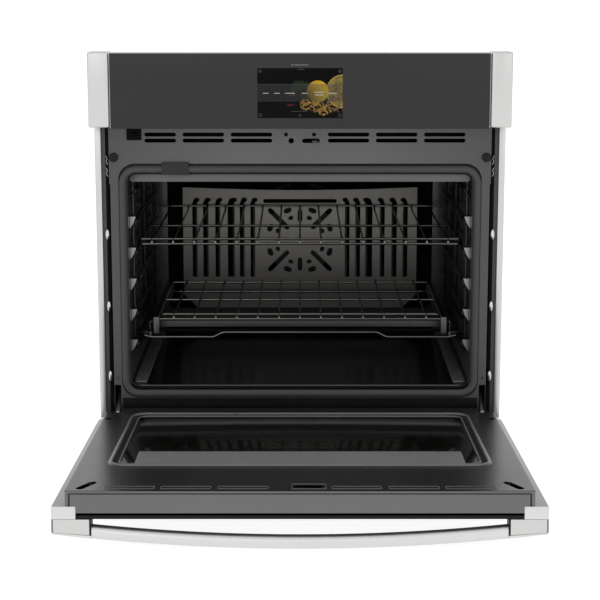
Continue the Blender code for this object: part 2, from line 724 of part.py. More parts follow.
def make_blower():
    centre = Vector((0, behind(0.41), 0))
    housing = boxes("blower_housing", [((-0.085, centre.y - 0.085, 0.585), (0.085, centre.y + 0.085, 0.650))],
                    galvanised())
    cut(housing, cutter_cylinders("blower hollow", [((0, centre.y, 0.625), 0.074, 0.076, "Z")]))
    cut(housing, cutter_boxes("blower outlet", [((-0.060, centre.y - 0.12, 0.592),
                                                 (0.060, centre.y - 0.045, 0.642))]))
    bm = bmesh.new()
    add_cylinder(bm, (0, centre.y, 0.5925), 0.062, 0.003, "Z", 32)
    wheel = to_object("blower_wheel", bm, galvanised())
    pieces = []
    count = 16
    for index in range(count):
        blade = boxes("wheel blade", [((0.046, -0.0008, 0.592), (0.060, 0.0008, 0.6365))])
        turn = Matrix.Translation((0, centre.y, 0)) @ Matrix.Rotation(2 * math.pi * index / count, 4, "Z")
        blade.data.transform(turn)
        pieces.append(blade)
    stem = bmesh.new()
    add_cylinder(stem, (0, centre.y, 0.6185), 0.005, 0.051, "Z", 12)
    pieces.append(to_object("wheel stem", stem))
    join(wheel, pieces)
    bm = bmesh.new()
    add_cylinder(bm, (0, centre.y, 0.6675), 0.030, 0.030, "Z", 24)
    motor = to_object("blower_motor", bm, make_material("motor_steel", (0.2, 0.2, 0.21), 0.5, 0.7))
    strap = boxes("motor strap", [((-0.084, centre.y - 0.010, 0.6504), (0.084, centre.y + 0.010, 0.6540))])
    join(motor, [strap])
    cut(motor, cutter_cylinders("blower bearing recess", [((0, centre.y, 0.640), 0.007, 0.032, "Z")]))


def make_electronics():
    board = boxes("power_board", [((0.140, behind(0.20), 0.590), (0.330, behind(0.42), 0.5918))],
                  make_material("circuit_board", (0.02, 0.12, 0.05), 0.5))
    pieces = []
    for row in range(3):
        for column in range(2):
            x, y = 0.160 + column * 0.045, behind(0.225 + row * 0.05)
            pieces.append(boxes("relay", [((x, y, 0.591), (x + 0.028, y + 0.03, 0.612))]))
    pieces.append(boxes("transformer", [((0.262, behind(0.26), 0.591), (0.312, behind(0.32), 0.632))]))
    for x in (0.147, 0.318):
        for depth in (0.207, 0.408):
            leg = ((x, behind(depth), 0.5785), (x + 0.005, behind(depth + 0.005), 0.591))
            pieces.append(boxes("board leg", [leg]))
    join(board, pieces)


def make_latch():
    z = 0.5695
    pivot = Vector((0.025, behind(0.025), z))
    arm = boxes("latch_hook", [((0.0225, behind(-0.0195), z - 0.0015), (0.0275, pivot.y, z + 0.0015))],
                make_material("latch_steel", (0.35, 0.35, 0.36), 0.35, 1.0))
    barb = boxes("latch barb", [((0.0265, behind(-0.0190), z - 0.0013), (0.0325, behind(-0.0145), z + 0.0013))])
    eye = bmesh.new()
    add_cylinder(eye, pivot, 0.007, 0.0034, "Z", 16)
    join(arm, [barb, to_object("latch eye", eye)])
    motor = boxes("latch_motor", [((-0.030, behind(0.036), 0.5785), (0.060, behind(0.100), 0.620))],
                  black_plastic())
    plate = boxes("latch plate", [((0.012, behind(0.010), 0.5765), (0.042, behind(0.050), 0.5795))])
    join(motor, [plate])
    block = boxes("door_switch", [((-0.3150, behind(-0.0060), 0.5710), (-0.2890, behind(0.020), 0.5920))],
                  black_plastic())
    cut(block, cutter_boxes("plunger bore", [((-0.3062, behind(-0.02), 0.5773),
                                             (-0.2978, behind(0.0165), 0.5857))]))
    plunger = boxes("switch_plunger", [((-0.3057, behind(-0.0094), 0.5778), (-0.2983, behind(0.010), 0.5852))],
                    make_material("plunger_plastic", (0.05, 0.05, 0.05), 0.4))
    round_edges(plunger, 0.001, 1)


# Door, modelled closed and carried by an empty on the hinge axis


def make_hinge_empty():
    axis = bpy.data.objects.new("door_hinge_axis", None)
    axis.location = (0, behind(-HINGE_PROUD), HINGE_Z)
    axis.rotation_euler = (DOOR_OPEN_ANGLE, 0, 0)
    bpy.data.collections[MODEL].objects.link(axis)
    return axis


def hang(item, axis):
    """Shift a piece drawn closed so that it turns with the hinge empty."""
    seen = set()
    stack = [item]
    while stack:
        piece = stack.pop()
        if piece.name in seen:
            continue
        seen.add(piece.name)
        piece.parent = axis
        piece.location = -axis.location
        for modifier in piece.modifiers:
            if modifier.type == "BOOLEAN" and modifier.operand_type == "COLLECTION":
                stack.extend(modifier.collection.objects)
            elif modifier.type == "BOOLEAN":
                stack.append(modifier.object)
    return item


def proud(distance):
    return behind(-distance)


def make_inner_panel(axis):
    half, back = 0.3575, 0.033
    panel = boxes("door_inner_panel", [((-half, proud(back), DOOR_BOTTOM + 0.002),
                                        (half, proud(DOOR_INNER), DOOR_TOP - 0.0005))], enamel())
    round_edges(panel, 0.003, 2)
    hollow = [((-half + SHEET, proud(0.08), DOOR_BOTTOM + 0.0035), (half - SHEET, proud(DOOR_INNER + SHEET),
                                                                   DOOR_TOP - 0.002))]
    cut(panel, cutter_boxes("door hollow", hollow))
    lip = boxes("panel lip", [((-0.3400, proud(0.0465), DOOR_TOP - 0.0019),
                               (0.3400, proud(0.031), DOOR_TOP - 0.0006))])
    join(panel, [lip])
    window = slab("window opening", rounded_outline(0.2900, 0.1210, 0.4390, 0.02),
                  proud(0.03), proud(-0.02), "Y", collection=CUTTERS)
    cut(panel, window)
    bm = bmesh.new()
    add_slot(bm, (-0.010, proud(0.02), 0.5620), (0.036, proud(0), 0.5770), "Y")
    for side in (-1, 1):
        near, far = sided(side, 0.3290, 0.3600)
        add_box(bm, (near, proud(0.05), 0.040), (far, proud(0), 0.090))
    cut(panel, to_object("panel openings", bm, collection=CUTTERS))
    hang(panel, axis)


def make_window_pack(axis):
    pane = slab("window_glass_inner", rounded_outline(0.3040, 0.1070, 0.4530, 0.012, 3),
                proud(0.0158), proud(DOOR_INNER + SHEET + GAP), "Y", pane_glass())
    hang(pane, axis)
    ring = boxes("window_pack_frame", [((-0.3200, proud(0.0297), 0.0930), (0.3200, proud(0.0161), 0.4720))],
                 galvanised())
    cut(ring, cutter_boxes("pack hollow", [((-0.2960, proud(0.05), 0.1150), (0.2960, proud(0), 0.4450))]))
    hang(ring, axis)
    middle = boxes("window_glass_middle", [((-0.3200, proud(0.0340), 0.0930),
                                            (0.3200, proud(0.0300), 0.4720))], pane_glass())
    hang(middle, axis)
    outer = boxes("door_outer_glass", [((-0.3399, proud(DOOR_OUTER), DOOR_BOTTOM),
                                        (0.3399, proud(0.0480), DOOR_TOP - 0.001))], black_glass())
    round_edges(outer, 0.0006, 1)
    hang(outer, axis)


def make_end_column(side, axis):
    """Stainless column beside the door pan: a front face, an outer wall and the return behind the pan."""
    edge = OVERALL_WIDTH / 2
    inner = END_CAP_INNER
    skin = SHEET / 2
    path = [(side * (inner + skin), proud(0.0360)), (side * (inner + skin), proud(DOOR_OUTER - skin)),
            (side * (edge - skin), proud(DOOR_OUTER - skin)), (side * (edge - skin), proud(COLUMN_BACK + skin)),
            (side * 0.3480, proud(COLUMN_BACK + skin))]
    column = folded_sheet("door_column_" + side_name(side), path, DOOR_BOTTOM, DOOR_TOP, "Z", stainless())
    near, far = sided(side, inner + 0.0006, edge - 0.0006)
    caps = []
    for low, high in ((DOOR_TOP - SHEET, DOOR_TOP + 0.0001), (DOOR_BOTTOM - 0.0001, DOOR_BOTTOM + SHEET)):
        caps.append(boxes("column cap", [((near, proud(DOOR_OUTER - 0.0006), low),
                                          (far, proud(COLUMN_BACK + 0.0006), high))]))
    join(column, caps)
    hang(column, axis)


def make_hinge(side, axis):
    name = side_name(side)
    near, far = sided(side, 0.3315, 0.3330)
    low, high = 0.0540, 0.2300
    channel = boxes("hinge_channel_" + name, [((near, proud(0.0310), low), (far, proud(0.0125), high))],
                    galvanised())
    near, far = sided(side, 0.3455, 0.3470)
    other = boxes("channel wall", [((near, proud(0.0310), low), (far, proud(0.0125), high))])
    near, far = sided(side, 0.3320, 0.3465)
    base = boxes("channel base", [((near, proud(0.0320), low + 0.001), (far, proud(0.0305), high - 0.001))])
    join(channel, [other, base])
    hang(channel, axis)
    slope = math.atan2(0.024, 0.045)
    outline = []
    for step in range(7):
        angle = slope - math.pi / 2 - math.pi * step / 6
        outline.append((-HINGE_PROUD - 0.0075 * math.cos(angle + math.pi), HINGE_Z + 0.0075 * math.sin(angle)))
    tail_y, tail_z = 0.024, 0.0835
    across = Vector((math.sin(slope), math.cos(slope))) * 0.0065
    outline += [(tail_y + across.x * -1, tail_z + across.y), (tail_y + 0.004, tail_z + 0.001),
                (tail_y + across.x, tail_z - across.y)]
    near, far = sided(side, 0.3360, 0.3420)
    arm_outline = [(behind(y), z) for y, z in outline]
    arm = slab("hinge_arm_" + name, arm_outline, near, far, "X",
               make_material("latch_steel", (0.35, 0.35, 0.36), 0.35, 1.0))
    near, far = sided(side, 0.3334, 0.3451)
    pin = bmesh.new()
    add_cylinder(pin, ((near + far) / 2, proud(HINGE_PROUD), HINGE_Z), 0.0035, far - near, "X", 12)
    join(arm, [to_object("hinge pin " + name, pin)])


def make_handle(axis):
    reach = HANDLE_REACH
    bm = bmesh.new()
    add_box(bm, (-reach, proud(0.0790), 0.5725), (reach, proud(0.0620), 0.5935))
    edges = [edge for edge in bm.edges if abs(edge.verts[0].co.x - edge.verts[1].co.x) > 0.1]
    bmesh.ops.subdivide_edges(bm, edges=edges, cuts=15)
    for vert in bm.verts:
        share = 1 - (vert.co.x / reach) ** 2
        outward = HANDLE_BOW if vert.co.y < proud(0.070) else HANDLE_BOW - 0.004
        vert.co.y -= outward * share
    bar = to_object("handle_bar", bm, stainless())
    round_edges(bar, 0.004, 2)
    hang(bar, axis)
    for side in (-1, 1):
        near, far = sided(side, HANDLE_REACH + GAP, OVERALL_WIDTH / 2)
        mount = boxes("handle_mount_" + side_name(side),
                      [((near, proud(0.0800), 0.5705), (far, proud(DOOR_OUTER + GAP), DOOR_TOP - 0.0005))],
                      stainless())
        round_edges(mount, 0.0025, 2)
        hang(mount, axis)


def main():
    clear_scene()
    make_case()
    make_conduit_gland()
    make_insulation()
    make_front_frame()
    make_gasket()
    for side in (-1, 1):
        make_side_parts(side)
        make_rack_support(side)
    make_lower_trim()
    make_control_panel()
    make_liner()
    make_baffle()
    make_elements()
    make_sensor_and_lamp()
    make_convection_fan()
    make_upper_rack()
    make_glide_rack()
    make_blower()
    make_electronics()
    make_latch()
    axis = make_hinge_empty()
    make_inner_panel(axis)
    make_window_pack(axis)
    make_handle(axis)
    for side in (-1, 1):
        make_end_column(side, axis)
        make_hinge(side, axis)


main()
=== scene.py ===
import json
import math
import bmesh
import bpy
import numpy as np
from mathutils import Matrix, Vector


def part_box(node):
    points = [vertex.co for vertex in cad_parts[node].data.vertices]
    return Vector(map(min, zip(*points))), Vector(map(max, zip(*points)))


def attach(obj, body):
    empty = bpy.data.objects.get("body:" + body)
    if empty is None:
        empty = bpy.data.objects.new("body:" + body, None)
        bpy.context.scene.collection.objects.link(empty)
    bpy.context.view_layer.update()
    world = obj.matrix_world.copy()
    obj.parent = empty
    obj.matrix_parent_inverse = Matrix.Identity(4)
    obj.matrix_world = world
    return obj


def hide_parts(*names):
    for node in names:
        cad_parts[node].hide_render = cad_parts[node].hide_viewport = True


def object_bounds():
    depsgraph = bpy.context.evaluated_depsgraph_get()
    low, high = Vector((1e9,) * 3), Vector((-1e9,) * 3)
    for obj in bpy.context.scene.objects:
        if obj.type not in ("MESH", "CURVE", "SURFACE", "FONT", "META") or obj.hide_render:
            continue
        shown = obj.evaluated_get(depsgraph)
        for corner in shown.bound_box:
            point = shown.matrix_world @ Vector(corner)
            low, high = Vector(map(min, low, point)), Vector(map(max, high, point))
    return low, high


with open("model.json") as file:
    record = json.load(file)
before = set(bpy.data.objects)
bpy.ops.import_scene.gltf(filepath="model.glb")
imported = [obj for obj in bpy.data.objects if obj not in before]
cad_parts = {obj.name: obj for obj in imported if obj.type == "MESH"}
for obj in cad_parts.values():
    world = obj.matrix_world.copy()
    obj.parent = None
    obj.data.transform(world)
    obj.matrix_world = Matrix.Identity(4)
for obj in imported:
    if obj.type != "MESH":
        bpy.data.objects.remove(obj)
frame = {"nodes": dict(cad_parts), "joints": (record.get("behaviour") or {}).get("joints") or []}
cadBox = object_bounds()
print("frame loaded:", len(frame["nodes"]), "nodes")

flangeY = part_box("mounting_trim_left")[1][1]  # plane where the trims meet the cabinet
doorJoint = next(joint for joint in frame["joints"] if joint["name"] == "door_hinge")
hingeY, hingeZ = doorJoint["pos_m"][1], doorJoint["pos_m"][2]
openAngle = math.radians(doorJoint["range_deg"][1])


# surfaces: every function returns (points, faces)

def at(x, proud, z):
    # x to the right, proud in front of the cabinet plane, z up: y = flangeY - proud
    x, proud, z = np.broadcast_arrays(x, proud, z)
    return np.stack([x, flangeY - proud, z], axis=-1).astype(float)


def openDoor(points):
    # turns closed-door points about the hinge line: y' = y cos a - z sin a, z' = y sin a + z cos a
    points = np.array(points, float)
    y, z = points[..., 1] - hingeY, points[..., 2] - hingeZ
    points[..., 1] = hingeY + y * math.cos(openAngle) - z * math.sin(openAngle)
    points[..., 2] = hingeZ + y * math.sin(openAngle) + z * math.cos(openAngle)
    return points


def span(node, closed=False):
    # lowest and highest x, proud and z of a CAD node; closed undoes the door's opening turn
    data = frame["nodes"][node].data
    co = np.empty(len(data.vertices) * 3)
    data.vertices.foreach_get("co", co)
    co = co.reshape(-1, 3)
    if closed:
        y, z = co[:, 1] - hingeY, co[:, 2] - hingeZ
        co = np.stack([co[:, 0], hingeY + y * math.cos(openAngle) + z * math.sin(openAngle),
                       hingeZ - y * math.sin(openAngle) + z * math.cos(openAngle)], axis=-1)
    low, high = co.min(0), co.max(0)
    return low[0], high[0], flangeY - high[1], flangeY - low[1], low[2], high[2]


def gridFaces(rows, columns, wrap=False, loop=False):
    # quads between row i and i + 1 and column j and j + 1; wrap joins the last column, loop the last row
    i = np.arange(rows if loop else rows - 1)[:, None]
    j = np.arange(columns if wrap else columns - 1)[None, :]
    nextRow, nextColumn = (i + 1) % rows, (j + 1) % columns
    quads = np.stack([i * columns + j, i * columns + nextColumn,
                      nextRow * columns + nextColumn, nextRow * columns + j], axis=-1)
    return quads.reshape(-1, 4).tolist()


def merged(surfaces):
    points, faces, offset = [], [], 0
    for part, quads in surfaces:
        points.append(np.reshape(part, (-1, 3)))
        faces += [[corner + offset for corner in quad] for quad in quads]
        offset += len(points[-1])
    return np.concatenate(points), faces


def roundedRect(halfWidth, low, high, radius, steps=6, centre=0.0):
    # corner centres pulled in by the radius, each with a quarter circle: (x, z) pairs
    turn = np.radians(np.arange(4)[:, None] * 90 + np.linspace(0, 90, steps + 1))
    x = np.array([1, -1, -1, 1])[:, None] * (halfWidth - radius) + radius * np.cos(turn)
    z = np.array([high - radius, high - radius, low + radius, low + radius])[:, None]
    return np.stack([centre + x, z + radius * np.sin(turn)], axis=-1).reshape(-1, 2)


def nestedRings(rows, steps=6, centre=0.0, loop=False, capFirst=False, capLast=False):
    # rows of (half width, low, high, radius, proud): rounded rectangles joined one to the next
    rings = []
    for halfWidth, low, high, radius, proud in rows:
        ring = roundedRect(halfWidth, low, high, radius, steps, centre)
        rings.append(at(ring[:, 0], proud, ring[:, 1]))
    count = len(rings[0])
    faces = gridFaces(len(rows), count, True, loop)
    if capFirst:
        faces.append(list(range(count))[::-1])
    if capLast:
        faces.append(list(range((len(rows) - 1) * count, len(rows) * count)))
    return np.stack(rings), faces


def roundedBlock(low, high, radius=0.001, steps=3):
    # a sphere's eight octants pulled apart to the corners of a box, x, proud, z low and high
    low, high = np.array(low, float), np.array(high, float)
    centre, half = (low + high) / 2, np.abs(high - low) / 2
    radius = min(radius, half.min() * 0.98)
    up = np.radians(np.concatenate([np.linspace(90, 0, steps + 1), np.linspace(0, -90, steps + 1)]))
    turn = np.radians(np.concatenate([np.linspace(k * 90, k * 90 + 90, steps + 1) for k in range(4)]))
    unit = np.stack([np.cos(up)[:, None] * np.cos(turn), np.cos(up)[:, None] * np.sin(turn),
                     np.sin(up)[:, None] * np.ones_like(turn)], axis=-1)
    quarter = np.repeat(np.arange(4), steps + 1)
    side = np.stack([np.array([1, -1, -1, 1])[quarter], np.array([1, 1, -1, -1])[quarter]], axis=-1)
    sign = np.concatenate([np.broadcast_to(side, (len(up), len(turn), 2)),
                           np.broadcast_to(np.where(np.arange(len(up)) <= steps, 1, -1)[:, None, None],
                                           (len(up), len(turn), 1))], axis=-1)
    points = centre + unit * radius + sign * (half - radius)
    faces = gridFaces(len(up), len(turn), True)
    ends = [k * (steps + 1) for k in range(4)]
    faces.append(ends)
    faces.append([(len(up) - 1) * len(turn) + k for k in ends][::-1])
    return at(points[..., 0], points[..., 1], points[..., 2]), faces


def blockLike(node, radius, steps=3, closed=False):
    # a rounded block that fills a CAD node's box
    x0, x1, p0, p1, z0, z1 = span(node, closed)
    return roundedBlock((x0, p0, z0), (x1, p1, z1), radius, steps)


def circle(sides):
    # (cos a, sin a) at equal angles once round
    turn = np.linspace(0, 2 * math.pi, sides, endpoint=False)
    return np.stack([np.cos(turn), np.sin(turn)], axis=-1)


nearAxis = 1e-5  # turned profiles stop this short of their axis, and the doubles are merged there


def turned(profile, centre, axis="proud", sides=32, squash=1.0):
    # profile of (radius, height) revolved about an axis through centre; squash stretches its z
    profile = np.array(profile, float)
    around = circle(sides)
    u = profile[:, :1] * around[:, 0]
    v = profile[:, :1] * around[:, 1]
    h = np.broadcast_to(profile[:, 1:], u.shape)
    x, proud, z = {"proud": (u, h, v * squash), "z": (u, v, h), "x": (h, u, v)}[axis]
    return at(centre[0] + x, centre[1] + proud, centre[2] + z), gridFaces(len(profile), sides, True)


def roundedPath(corners, radius, steps=5):
    # every inner corner b becomes the quadratic arc (1-t)^2 p + 2t(1-t) b + t^2 q, radius away from it
    corners = np.array(corners, float)
    t = np.linspace(0, 1, steps + 1)[:, None]
    parts = [corners[:1]]
    for a, b, c in zip(corners, corners[1:], corners[2:]):
        reach = min(radius, np.linalg.norm(a - b) * 0.48, np.linalg.norm(c - b) * 0.48)
        p = b + (a - b) / np.linalg.norm(a - b) * reach
        q = b + (c - b) / np.linalg.norm(c - b) * reach
        parts.append((1 - t) ** 2 * p + 2 * t * (1 - t) * b + t ** 2 * q)
    parts.append(corners[-1:])
    return np.concatenate(parts)


def frames(path, loop=False):
    # two normals along a path: its plane's normal crossed with the tangent, and the tangent with that
    path = np.array(path, float)
    if loop:
        tangent = np.roll(path, -1, 0) - np.roll(path, 1, 0)
    else:
        tangent = np.gradient(path, axis=0)
    tangent /= np.linalg.norm(tangent, axis=1, keepdims=True)
    plane = np.linalg.svd(path - path.mean(0), full_matrices=True)[2][2]
    first = np.cross(plane, tangent)
    first /= np.linalg.norm(first, axis=1, keepdims=True)
    return path, first, np.cross(tangent, first)


def sweepProfile(path, profile, loop=False):
    # the closed profile (u, v) stands across the path: point = path + u * first + v * second
    path, first, second = frames(path, loop)
    profile = np.array(profile, float)
    points = (path[:, None] + first[:, None] * profile[None, :, :1]
              + second[:, None] * profile[None, :, 1:])
    count = len(profile)
    faces = gridFaces(len(path), count, True, loop)
    if not loop:
        faces.append(list(range(count))[::-1])
        faces.append(list(range((len(path) - 1) * count, len(path) * count)))
    return points, faces


def wire(corners, radius, bend=0.006, sides=10, steps=5):
    # a round bar: circle of the radius swept along the rounded corners
    corners = np.array(corners, float)
    path = at(corners[:, 0], corners[:, 1], corners[:, 2])
    path = roundedPath(path, bend, steps) if bend else path
    return sweepProfile(path, radius * circle(sides))


def prism(outline, low, high, across="proud"):
    # an outline of (u, v) pairs carried straight from low to high, with both ends closed
    outline = np.array(outline, float)
    u, v = outline[:, 0], outline[:, 1]
    ends = []
    for level in (low, high):
        ends.append({"proud": at(u, level, v), "x": at(level, u, v), "z": at(u, v, level)}[across])
    count = len(outline)
    faces = gridFaces(2, count, True) + [list(range(count))[::-1], list(range(count, 2 * count))]
    return np.stack(ends), faces


def stadium(width, height, centre=(0, 0), turn=0.0, steps=8):
    # a slot with round ends along u, turned by an angle in the plane
    radius = height / 2
    arc = np.linspace(-math.pi / 2, math.pi / 2, steps + 1)
    u = np.concatenate([width / 2 - radius + radius * np.cos(arc),
                        radius - width / 2 - radius * np.cos(arc)])
    v = np.concatenate([radius * np.sin(arc), -radius * np.sin(arc)])
    return np.stack([centre[0] + u * math.cos(turn) - v * math.sin(turn),
                     centre[1] + u * math.sin(turn) + v * math.cos(turn)], axis=-1)


def mirrored(surface):
    points, faces = surface
    return np.array(points) * [-1, 1, 1], [face[::-1] for face in faces]


def onBothSides(surfaces):
    return list(surfaces) + [mirrored(surface) for surface in surfaces]


def moved(surfaces, change):
    return [(change(np.array(points)), faces) for points, faces in surfaces]


# objects

def smoothShade(mesh, angle=32):
    mesh.shade_smooth()
    mesh.set_sharp_from_angle(angle=math.radians(angle))


def meshOf(name, surfaces):
    points, faces = merged(surfaces)
    mesh = bpy.data.meshes.new(name)
    mesh.from_pydata(points.tolist(), [], faces)
    shape = bmesh.new()
    shape.from_mesh(mesh)
    bmesh.ops.remove_doubles(shape, verts=shape.verts, dist=2e-6)
    bmesh.ops.recalc_face_normals(shape, faces=shape.faces)
    shape.to_mesh(mesh)
    shape.free()
    smoothShade(mesh)
    return mesh


def addPiece(name, surfaces, finish, body, stands=()):
    piece = bpy.data.objects.new(name, meshOf(name, surfaces))
    bpy.context.scene.collection.objects.link(piece)
    piece.data.materials.append(finishes[finish])
    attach(piece, body)
    if stands:
        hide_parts(*stands)
    return piece


def settle(piece):
    # the modifiers so far become the mesh itself
    graph = bpy.context.evaluated_depsgraph_get()
    mesh = bpy.data.meshes.new_from_object(piece.evaluated_get(graph))
    piece.modifiers.clear()
    piece.data = mesh
    smoothShade(mesh)


def cutAway(piece, surfaces):
    tool = bpy.data.objects.new("cutting tool", meshOf("cutting tool", surfaces))
    bpy.context.scene.collection.objects.link(tool)
    cut = piece.modifiers.new("cut", "BOOLEAN")
    cut.operation = "DIFFERENCE"
    cut.solver = "EXACT"
    cut.object = tool
    settle(piece)
    bpy.data.objects.remove(tool)


def roundEdges(piece, width, angle=35):
    bevel = piece.modifiers.new("rounded edges", "BEVEL")
    bevel.width = width
    bevel.segments = 2
    bevel.limit_method = "ANGLE"
    bevel.angle_limit = math.radians(angle)
    bevel.harden_normals = True
    bevel.use_clamp_overlap = True


def thicken(piece, thickness, offset=-1.0):
    wall = piece.modifiers.new("sheet thickness", "SOLIDIFY")
    wall.thickness = thickness
    wall.offset = offset
    wall.use_even_offset = True


# finishes

class Value:
    # wraps an output socket, so that sums and products of values add their own nodes
    def __init__(self, finish, socket):
        self.finish = finish
        self.socket = socket

    def maths(self, operation, *others, first=None):
        values = list(others) if first is None else [first]
        order = [self] + values if first is None else values + [self]
        return self.finish.node("ShaderNodeMath", {"operation": operation}, dict(enumerate(order)))

    def __add__(self, other): return self.maths("ADD", other)
    def __radd__(self, other): return self.maths("ADD", other)
    def __sub__(self, other): return self.maths("SUBTRACT", other)
    def __rsub__(self, other): return self.maths("SUBTRACT", first=other)
    def __mul__(self, other): return self.maths("MULTIPLY", other)
    def __rmul__(self, other): return self.maths("MULTIPLY", other)
    def __lt__(self, other): return self.maths("LESS_THAN", other)
    def __gt__(self, other): return self.maths("GREATER_THAN", other)
    def __pow__(self, other): return self.maths("POWER", other)
    def sin(self): return self.maths("SINE")
    def clip(self): return self.maths("MINIMUM", 1.0).maths("MAXIMUM", 0.0)


class Finish:
    def __init__(self, name):
        self.material = bpy.data.materials.new(name)
        self.material.use_nodes = True
        self.tree = self.material.node_tree
        self.shader = self.tree.nodes["Principled BSDF"]
        self.coords = self.node("ShaderNodeTexCoord", output="Object")

    def node(self, kind, settings=None, inputs=None, output=0):
        made = self.tree.nodes.new(kind)
        for key, value in (settings or {}).items():
            setattr(made, key, value)
        for key, value in (inputs or {}).items():
            if isinstance(value, Value):
                self.tree.links.new(value.socket, made.inputs[key])
            elif isinstance(value, (tuple, list)) and len(value) == 3 and made.inputs[key].type == "RGBA":
                made.inputs[key].default_value = (*value, 1.0)
            else:
                made.inputs[key].default_value = value
        return Value(self, made.outputs[output])

    def noise(self, scale, detail=3.0, stretch=(1, 1, 1), rough=0.55):
        place = self.node("ShaderNodeMapping", None, {"Vector": self.coords, "Scale": stretch})
        return self.node("ShaderNodeTexNoise", None,
                         {"Vector": place, "Scale": scale, "Detail": detail, "Roughness": rough})

    def cells(self, scale, output="Distance"):
        return self.node("ShaderNodeTexVoronoi", None, {"Vector": self.coords, "Scale": scale}, output)

    def mix(self, factor, a, b):
        return self.node("ShaderNodeMix", {"data_type": "RGBA"}, {0: factor, 6: a, 7: b}, 2)

    def bump(self, height, strength, distance):
        return self.node("ShaderNodeBump", None,
                         {"Height": height, "Strength": strength, "Distance": distance})

    def axes(self):
        place = self.tree.nodes.new("ShaderNodeSeparateXYZ")
        self.tree.links.new(self.coords.socket, place.inputs[0])
        return [Value(self, place.outputs[k]) for k in range(3)]

    def set(self, **sockets):
        for key, value in sockets.items():
            socket = self.shader.inputs[key.replace("_", " ")]
            if isinstance(value, Value):
                self.tree.links.new(value.socket, socket)
            elif isinstance(value, tuple) and len(value) == 3:
                socket.default_value = (*value, 1.0)
            else:
                socket.default_value = value
        return self.material


def grey(level):
    return (level, level, level * 0.99)


def shade(tone, share):
    return tuple(c * share for c in tone)


def brushedSteel(name, tone, along="x", rough=0.3, stain=0.05):
    paint = Finish(name)
    stretch = {"x": (2, 260, 260), "z": (260, 260, 2), "y": (260, 2, 260)}[along]
    grain = paint.noise(9, 4, stretch, 0.7)
    cloud = paint.noise(7, 2)
    tint = paint.mix((grain * 0.6 + cloud * 0.4).clip(), shade(tone, 1 - stain),
                     shade(tone, 1 + stain))
    return paint.set(Base_Color=tint, Metallic=1.0, Roughness=rough - 0.08 + grain * 0.12 + cloud * 0.05,
                     Normal=paint.bump(grain, 0.12, 0.0002))


def enamelCoat(name, tone, rough=0.3, fleck=0.25, fleckScale=900, ripple=0.06, specular=0.5, paintedLightFade=None):
    # fired enamel: fine pale flecks, a slow orange-peel ripple and a slightly varied gloss
    # fade: painted light and shade, as an axis, where along it the tone starts to change, where it has
    # changed, and to what share
    paint = Finish(name)
    speckle = paint.cells(fleckScale) < 0.14
    cloud = paint.noise(5, 3)
    peel = paint.noise(160, 2)
    tint = paint.mix(cloud, shade(tone, 0.9), shade(tone, 1.1))
    tint = paint.mix(speckle * fleck, tint, (0.55, 0.55, 0.54))
    if paintedLightFade:
        axis, start, end, share = paintedLightFade
        far = shade(tone, share)
        place = (paint.axes()[axis] ** 2.0) ** 0.5
        tint = paint.mix(((place - start) * (1 / (end - start))).clip(), tint,
                         paint.mix(cloud, shade(far, 0.9), shade(far, 1.1)))
    return paint.set(Base_Color=tint, Roughness=rough + (cloud - 0.5) * 0.12, Specular_IOR_Level=specular,
                     Normal=paint.bump(peel, ripple, 0.0006))


def zincSheet(name, tone=(0.52, 0.54, 0.55)):
    paint = Finish(name)
    spangle = paint.cells(75, "Color")
    flat = paint.node("ShaderNodeSeparateColor", None, {0: spangle})
    cloud = paint.noise(4, 4)
    tint = paint.mix(flat, shade(tone, 0.78), tone)
    tint = paint.mix(cloud * 0.35, tint, shade(tone, 0.6))
    return paint.set(Base_Color=tint, Metallic=0.85, Roughness=0.34 + flat * 0.2,
                     Normal=paint.bump(paint.noise(220, 2), 0.08, 0.0003))


def plainMetal(name, tone, rough=0.3, wear=0.15, metallic=1.0):
    paint = Finish(name)
    cloud = paint.noise(30, 4)
    fine = paint.noise(700, 2)
    tint = paint.mix(cloud, shade(tone, 1 - wear), tone)
    return paint.set(Base_Color=tint, Metallic=metallic, Roughness=rough + (cloud - 0.5) * 0.2,
                     Normal=paint.bump(fine, 0.08, 0.0001))


def plastic(name, tone, rough=0.5, grain=0.15):
    paint = Finish(name)
    texture = paint.noise(1500, 2)
    cloud = paint.noise(12, 3)
    tint = paint.mix(cloud, shade(tone, 0.85), shade(tone, 1.15))
    return paint.set(Base_Color=tint, Roughness=rough + (cloud - 0.5) * 0.1, Specular_IOR_Level=0.2,
                     Normal=paint.bump(texture, grain, 0.0001))


def braid(name):
    # two sets of slanting strands over and under each other
    paint = Finish(name)
    x, _, z = paint.axes()
    pitch = 2 * math.pi / 0.0032  # strands 3.2 mm apart
    strands = ((x + z) * pitch).sin() * ((x - z) * pitch).sin()
    lift = (strands * 0.5 + 0.5).clip()
    fuzz = paint.noise(2200, 3)
    tint = paint.mix((lift * 0.7 + fuzz * 0.3).clip(), (0.028, 0.028, 0.0275), (0.086, 0.086, 0.084))
    return paint.set(Base_Color=tint, Roughness=0.62 + fuzz * 0.2, Specular_IOR_Level=0.3,
                     Normal=paint.bump(lift + fuzz * 0.3, 0.35, 0.0006))


def woolBlanket(name):
    paint = Finish(name)
    strands = paint.noise(140, 6, (1, 1, 4))
    tufts = paint.noise(14, 3)
    tint = paint.mix((strands * 0.6 + tufts * 0.4).clip(), (0.5, 0.43, 0.26), (0.78, 0.72, 0.52))
    return paint.set(Base_Color=tint, Roughness=0.95, Normal=paint.bump(strands, 0.8, 0.004))


